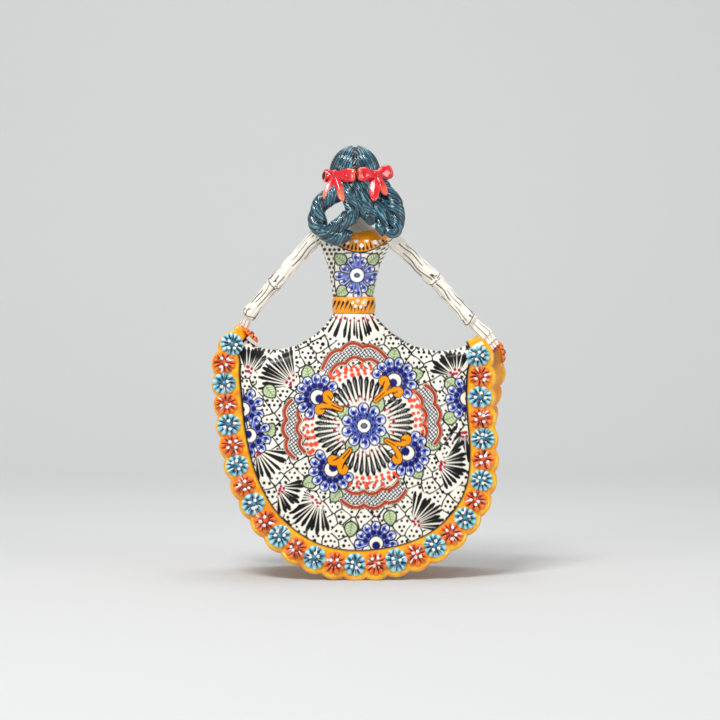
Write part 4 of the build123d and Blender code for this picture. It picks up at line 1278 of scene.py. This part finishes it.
for index in range(FLOWERS):
    colour = "orange" if index % 2 else "teal"
    clay = Clay()
    hem_flower(clay, hem_back, index, 100 + index)
    clay.piece(f"back_flower_{index + 1:02d}_{colour}", f"flower_{colour}_glaze")
for first, colour in enumerate(("teal", "orange")):
    clay = Clay()
    for index in range(first, FLOWERS, 2):
        hem_flower(clay, hem_front, index, 200 + index)
    clay.piece(f"front_flowers_{colour}", f"flower_{colour}_glaze")
for name, origin, z_dir in (("corner_flower_left", (-102.4, -1, 222.2), (0.68, -0.22, 0.7)),
                            ("corner_flower_right", (132, 8, 206), (1, 0, 0.2))):
    clay = Clay()
    flower_on(clay, np.array(origin, float), (0, 1, 0), z_dir, False, len(name))
    clay.piece(name, "flower_orange_glaze")
waist_band()
bodice()
neck_and_shoulders()
skull_piece()
hair_cap()
for which, side_name in enumerate(("left", "right")):
    arm = SHOULDERS[which], ELBOWS[which], WRISTS[which]
    for k, (part, knob, shaft) in enumerate((("upper_arm", 8.2, 7.0), ("forearm", 7.9, 6.4))):
        clay = Clay()
        bone(clay, arm[k], arm[k + 1], knob, shaft, 70 + 10 * k + which)
        clay.piece(f"{side_name}_{part}", "bone_cream_glaze")
    hand(which, side_name)

# Each rope of hair: radius, line from the crown, number of strands and turns of their twist
LOCKS = {
    "braid_left": (
        (8.0, ((-15, -15, 366), (-23, -21.5, 354), (-34, -23, 347), (-39, -24, 336), (-37.5, -25, 325),
               (-29, -26.5, 317), (-18, -27, 315), (-6, -27, 319)), 2, 2.3),),
    "lock_left": (
        (7.4, ((-6, -18, 368), (-8, -25, 356), (-7.5, -26, 347), (-6.5, -27, 338), (-13, -28.5, 329.5),
               (-22, -28.5, 324), (-30, -27, 321)), 3, 1.1),
        (4.6, ((-13, -17, 364), (-12.5, -23.5, 356), (-9.5, -25, 348), (-7, -25, 341), (-4, -26, 334)),
         2, 0.7)),
    "lock_centre": (
        (6.6, ((3, -18, 368), (4, -25, 356), (6.5, -26.5, 345), (9.5, -27, 336), (10.5, -28, 325)), 2, 0.9),
        (4.8, ((-1, -18, 366), (-0.5, -27, 355), (1.5, -28, 347), (3, -28, 339), (5.5, -28, 331)), 2, 0.6)),
    "lock_right": (
        (6.2, ((10, -15, 364), (13.5, -21, 350), (18.5, -24, 338), (21, -26, 326), (21, -27, 315)), 2, 1.0),
        (4.4, ((18, -14, 362), (22, -19, 350), (26, -21, 341), (27.5, -22, 331), (25, -23, 322)), 2, 0.8)),
    "braid_right": (
        (7.4, ((14, -9, 366), (24, -16, 357), (31, -20, 348), (34.5, -22, 337), (34, -24, 326),
               (29, -28, 319.5), (24.5, -30, 324)), 2, 1.9),),
}
for name, ropes in LOCKS.items():
    clay = Clay()
    for k, rope in enumerate(ropes):
        braid(clay, *rope, len(name) + 10 * k)
    clay.piece(name, "hair_teal_glaze", sharp=80)

bow("left", (-23, -19.5, 371.7), (((-35.7, -14, 371.2), 6.6, True), ((-4.5, -28.5, 371.4), 6.8, False)),
    (((-14.8, -32, 347), 8, 0.85), ((-33.3, -30, 349.7), 6.5, 0.9)), 301)
bow("right", (15, -20, 371.7), (((29.2, -12, 375.5), 7.2, False), ((-0.5, -29, 372.6), 7.0, False)),
    (((13.1, -32.5, 347.5), 10.5, 0.05), ((25.0, -27, 353), 8, 0.45)), 331)

# ---------------------------------------------------------------- floor, light and camera
floor_material = bpy.data.materials.new("pale_floor")
floor_material.use_nodes = True
nodes, links = floor_material.node_tree.nodes, floor_material.node_tree.links
cloud = nodes.new("ShaderNodeTexNoise")
cloud.inputs["Scale"].default_value = 3
ramp = nodes.new("ShaderNodeValToRGB")
ramp.color_ramp.elements[0].color = (0.60, 0.60, 0.59, 1)
ramp.color_ramp.elements[1].color = (0.64, 0.64, 0.63, 1)
links.new(cloud.outputs["Fac"], ramp.inputs["Fac"])
shader = nodes["Principled BSDF"]
links.new(ramp.outputs["Color"], shader.inputs["Base Color"])
shader.inputs["Roughness"].default_value = 0.75
FLOOR_NEAR, FLOOR_FAR, COVE_RADIUS, WALL_TOP, FLOOR_HALF_WIDTH = -3.0, 1.0, 0.9, 3.2, 4.0
profile = [(FLOOR_NEAR, 0.0), (FLOOR_FAR, 0.0)]
profile += [(FLOOR_FAR + COVE_RADIUS * math.sin(a), COVE_RADIUS - COVE_RADIUS * math.cos(a))
            for a in np.linspace(0.1, PI / 2, 14)]
profile.append((FLOOR_FAR + COVE_RADIUS, WALL_TOP))
mesh = bpy.data.meshes.new("studio_floor")
mesh.from_pydata([(x, y, z) for y, z in profile for x in (-FLOOR_HALF_WIDTH, FLOOR_HALF_WIDTH)], [],
                 [(2 * k, 2 * k + 1, 2 * k + 3, 2 * k + 2) for k in range(len(profile) - 1)])
for polygon in mesh.polygons:
    polygon.use_smooth = True
mesh.materials.append(floor_material)
floor = bpy.data.objects.new("studio_floor", mesh)
bpy.context.collection.objects.link(floor)

world = bpy.data.worlds.new("studio")
world.use_nodes = True
sky = world.node_tree.nodes["Background"]
sky.inputs["Color"].default_value = (0.80, 0.84, 0.88, 1)
sky.inputs["Strength"].default_value = 0.45
bpy.context.scene.world = world
bpy.context.scene.view_settings.view_transform = "Standard"


FIGURE_MIDDLE = Vector((0, 0, 0.2))


def softbox(name, place, width, height, watts):
    """A rectangular light that looks at the middle of the figure."""
    data = bpy.data.lights.new(name, "AREA")
    data.shape, data.size, data.size_y, data.energy = "RECTANGLE", width, height, watts
    light = bpy.data.objects.new(name, data)
    light.location = place
    light.rotation_euler = (FIGURE_MIDDLE - Vector(place)).to_track_quat("-Z", "Y").to_euler()
    bpy.context.collection.objects.link(light)


softbox("key", (-0.7, -1.5, 2.6), 1.0, 0.8, 62)
softbox("side", (-1.9, -1.9, 0.95), 0.35, 0.5, 12)
softbox("fill", (2.2, -1.5, 0.7), 0.9, 1.2, 18)
softbox("top", (0.1, 0.5, 1.9), 1.2, 0.8, 10)

SENSOR, DISTANCE, ELEVATION, VIEW_WIDTH = 36, 3.0, math.radians(3), 0.6723
camera_data = bpy.data.cameras.new("camera")
camera_data.sensor_width = SENSOR
camera = bpy.data.objects.new("camera", camera_data)
bpy.context.collection.objects.link(camera)
target = Vector((0.0005, 0, 0.1995))
camera.location = target + Vector((0, -DISTANCE * math.cos(ELEVATION), DISTANCE * math.sin(ELEVATION)))
camera.rotation_euler = (target - camera.location).to_track_quat("-Z", "Y").to_euler()
camera_data.lens = SENSOR * DISTANCE / VIEW_WIDTH
bpy.context.scene.camera = camera
